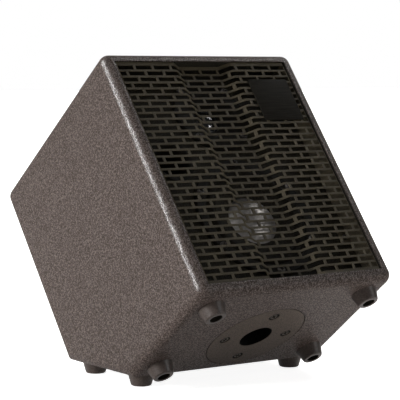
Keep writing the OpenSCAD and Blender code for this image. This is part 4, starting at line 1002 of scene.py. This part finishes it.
class MONITOR_OT_sockets(bpy.types.Operator):
    """Makes the jacks' nuts and screws, the mains inlet's blades and screws, the rocker and the button"""

    bl_idname = "monitor.sockets"
    bl_label = "Make the sockets and switches"

    # Screws: radius and rise of the head, and depth of the tip
    JACK_SCREW = (2.4 * MM, 1.2 * MM, 6 * MM)
    INLET_SCREW = (3 * MM, 1.4 * MM, 8 * MM)
    # Outline of a jack's nut in millimetres, as radius and height over its plate
    NUT = ((3.7, -1), (6.6, -1), (6.6, 0.7), (6.1, 1.1), (4.2, 1.1), (3.7, 0.6))
    # Places of the inlet's blades in millimetres, and the corners of a blade from its place
    BLADES = ((-7, -2), (0, 2), (7, -2))
    BLADE_LOW, BLADE_HIGH = Vector((-1.1, -2.1, -16.9)) * MM, Vector((1.1, 2.1, -6.8)) * MM

    def execute(self, context):
        rounding = context.scene.monitor_look.edge_round / 2
        self.add_jack_nuts()
        self.add_inlet()
        for node in ("power_rocker", "mute_button"):
            add_piece(f"{node}_moulded", softened(node, rounding), ["button_plastic"], node, [node])
        bezel = softened("power_switch_frame", rounding)
        add_piece("switch_bezel", bezel, ["black_plastic"], "cabinet", ["power_switch_frame"])
        return {"FINISHED"}

    def screw_on(self, bm, at, height, size, turn):
        """A domed screw on a surface of the panel."""
        radius, rise, depth = size
        add_screw(bm, on_face(BACK, at, turn), Seat(at, radius, height, height + rise, height - depth))

    def add_jack_nuts(self):
        """A nut and two screws on each jack's plate."""
        inset, sides = Vector((4, 4, 0)) * MM, 24
        nuts, screws = bmesh.new(), bmesh.new()
        for points in islands("jack_sockets"):
            low, high = box_of(seen_from(BACK, points))
            middle, corner = (low + high) / 2, (high - low) / 2 - inset
            profile = [(r * MM, high.z + z * MM) for r, z in self.NUT]
            add_spun(nuts, profile, sides, on_face(BACK, middle), closed=True)
            for side in (-1, 1):
                self.screw_on(screws, middle + side * corner, high.z, self.JACK_SCREW, side)
        add_piece("jack_nuts", nuts, ["contact_metal"], "cabinet")
        add_piece("jack_screws", screws, ["screw_steel", "black_plastic"], "cabinet")

    def add_inlet(self):
        """Three blades in the inlet's mouth, and a screw on each of its ears."""
        reach, rounding = Vector((20, 0, 0)) * MM, 0.4 * MM
        low, high = seat_box(BACK, "mains_inlet")
        middle = (low + high) / 2
        blades, screws = bmesh.new(), bmesh.new()
        for x, y in self.BLADES:
            at = Vector((middle.x + x * MM, middle.y + y * MM, high.z))
            blade = set(add_box(blades, at + self.BLADE_LOW, at + self.BLADE_HIGH))
            round_edges(blades, rounding, 1, [e for e in blades.edges if blade.issuperset(e.verts)])
        bmesh.ops.transform(blades, matrix=LEAN @ BACK, verts=blades.verts)
        for side in (-1, 1):
            self.screw_on(screws, middle + side * reach, high.z, self.INLET_SCREW, side)
        add_piece("inlet_blades", blades, ["contact_metal"], "cabinet")
        add_piece("inlet_screws", screws, ["screw_steel", "black_plastic"], "cabinet")


Lamp = namedtuple("Lamp", "name setting share towards spread matt")


class MONITOR_OT_stage(bpy.types.Operator):
    """Adds the floor, the lamps, the sky and the camera"""

    bl_idname = "monitor.stage"
    bl_label = "Set the stage"

    # Setting of the strength, share of it, direction, spread in degrees, and if it lights matt or gloss
    LAMPS = (
        Lamp("key_light", "key_strength", 1, (-0.94, 0.16, 0.29), 14, True),
        Lamp("fill_light", "fill_strength", 1, (0.58, 0.60, 0.55), 36, True),
        Lamp("upper_card", "card_strength", 1.35, (0.69, 0.02, 0.72), 16, False),
        Lamp("lower_card", "card_strength", 1, (0.58, -0.76, 0.29), 10, False),
        Lamp("edge_card", "card_strength", 20, (-0.83, 0.22, 0.51), 32, False),
    )
    LAMP_DISTANCE = 3
    # Shares of the floor's and the sky's white that gloss mirrors
    FLOOR_MIRRORED, SKY_MIRRORED = 0.5, 0.2
    # Width of the camera's sensor in millimetres, and how far it sees
    SENSOR, SIGHT = 36, 100

    def execute(self, context):
        studio = context.scene.monitor_studio
        self.add_floor(studio)
        self.add_sky(context.scene, studio)
        for lamp in self.LAMPS:
            self.add_lamp(context.scene, lamp, lamp.share * getattr(studio, lamp.setting))
        self.add_camera(context.scene, studio)
        context.scene.view_settings.view_transform = "Standard"
        return {"FINISHED"}

    def add_floor(self, studio):
        """A matt floor that looks white to the camera."""
        bm = bmesh.new()
        bmesh.ops.create_grid(bm, x_segments=1, y_segments=1, size=studio.floor_size / 2)
        material = bpy.data.materials.new("pale_floor")
        material.use_nodes = True
        material.node_tree.nodes.clear()
        matt = add_node(material, "ShaderNodeBsdfDiffuse", {"Color": (*studio.floor_colour, 1)})
        seen = self.seen_directly(material, self.FLOOR_MIRRORED)
        light = add_node(
            material, "ShaderNodeEmission", {"Strength": between(material, seen, 0, studio.floor_glow, 0, 1)})
        both = add_node(material, "ShaderNodeAddShader", {0: matt.outputs[0], 1: light.outputs[0]})
        add_node(material, "ShaderNodeOutputMaterial", {"Surface": both.outputs[0]})
        new_object("floor", bm, [material])

    def seen_directly(self, shading, mirrored):
        """One where the camera sees a surface, a share of it in gloss or through glass, or nought."""
        rays = add_node(shading, "ShaderNodeLightPath").outputs
        seen = sum_of(shading, rays["Is Camera Ray"], rays["Is Glossy Ray"], mirrored)
        return sum_of(shading, seen, rays["Is Transmission Ray"], mirrored)

    def add_sky(self, scene, studio):
        """An even sky that is white behind the object."""
        world = bpy.data.worlds.new("studio_sky")
        world.use_nodes = True
        scene.world = world
        strength = between(world, self.seen_directly(world, self.SKY_MIRRORED), studio.sky, 1, 0, 1)
        sky = world.node_tree.nodes["Background"]
        world.node_tree.links.new(strength, sky.inputs["Strength"])
        sky.inputs["Color"].default_value = (1, 1, 1, 1)

    def add_lamp(self, scene, lamp, strength):
        """A sun of some spread, which either lights matt colour or shows in gloss."""
        data = bpy.data.lights.new(lamp.name, "SUN")
        data.energy = strength
        data.angle = math.radians(lamp.spread)
        towards = Vector(lamp.towards)
        made = bpy.data.objects.new(lamp.name, data)
        made.location = self.LAMP_DISTANCE * towards
        made.rotation_euler = (-towards).to_track_quat("-Z", "Y").to_euler()
        made.visible_diffuse, made.visible_glossy = lamp.matt, not lamp.matt
        scene.collection.objects.link(made)

    def add_camera(self, scene, studio):
        """The photograph's camera, on a sphere round the point it looks at."""
        data = bpy.data.cameras.new("photo_camera")
        data.lens = studio.lens
        data.sensor_width = self.SENSOR
        data.clip_end = self.SIGHT
        camera = bpy.data.objects.new("photo_camera", data)
        turn, rise = studio.azimuth, studio.elevation
        back = Vector((
            math.sin(turn) * math.cos(rise), -math.cos(turn) * math.cos(rise), math.sin(rise)))
        camera.location = Vector(studio.aim) + studio.distance * back
        camera.rotation_mode = "QUATERNION"
        level = (-back).to_track_quat("-Z", "Y")
        camera.rotation_quaternion = level @ Quaternion((0, 0, 1), studio.roll)
        scene.collection.objects.link(camera)
        scene.camera = camera


class MONITOR_PT_panel(bpy.types.Panel):
    """Lists the steps and the settings"""

    bl_idname = "MONITOR_PT_panel"
    bl_label = "Stage monitor wedge"
    bl_space_type = "VIEW_3D"
    bl_region_type = "UI"
    bl_category = "Monitor"

    def draw(self, context):
        for step in STEPS:
            self.layout.operator(step.bl_idname)
        for group in (context.scene.monitor_look, context.scene.monitor_studio):
            box = self.layout.box()
            for name in group.__annotations__:
                box.prop(group, name)


STEPS = (
    MONITOR_OT_solids, MONITOR_OT_screws, MONITOR_OT_feet, MONITOR_OT_soft_rings, MONITOR_OT_handle,
    MONITOR_OT_badge, MONITOR_OT_knobs, MONITOR_OT_panel_print, MONITOR_OT_sockets, MONITOR_OT_stage)
GROUPS = (MonitorLook, MonitorStudio)


def register():
    """Adds the classes and the settings."""
    for item in (*GROUPS, *STEPS, MONITOR_PT_panel):
        bpy.utils.register_class(item)
    bpy.types.Scene.monitor_look = bpy.props.PointerProperty(type=MonitorLook)
    bpy.types.Scene.monitor_studio = bpy.props.PointerProperty(type=MonitorStudio)


def unregister():
    """Removes the settings and the classes."""
    del bpy.types.Scene.monitor_studio
    del bpy.types.Scene.monitor_look
    for item in reversed((*GROUPS, *STEPS, MONITOR_PT_panel)):
        bpy.utils.unregister_class(item)


def main():
    """Runs the steps in order."""
    register()
    for step in STEPS:
        family, name = step.bl_idname.split(".")
        getattr(getattr(bpy.ops, family), name)()


if __name__ == "__main__":
    main()
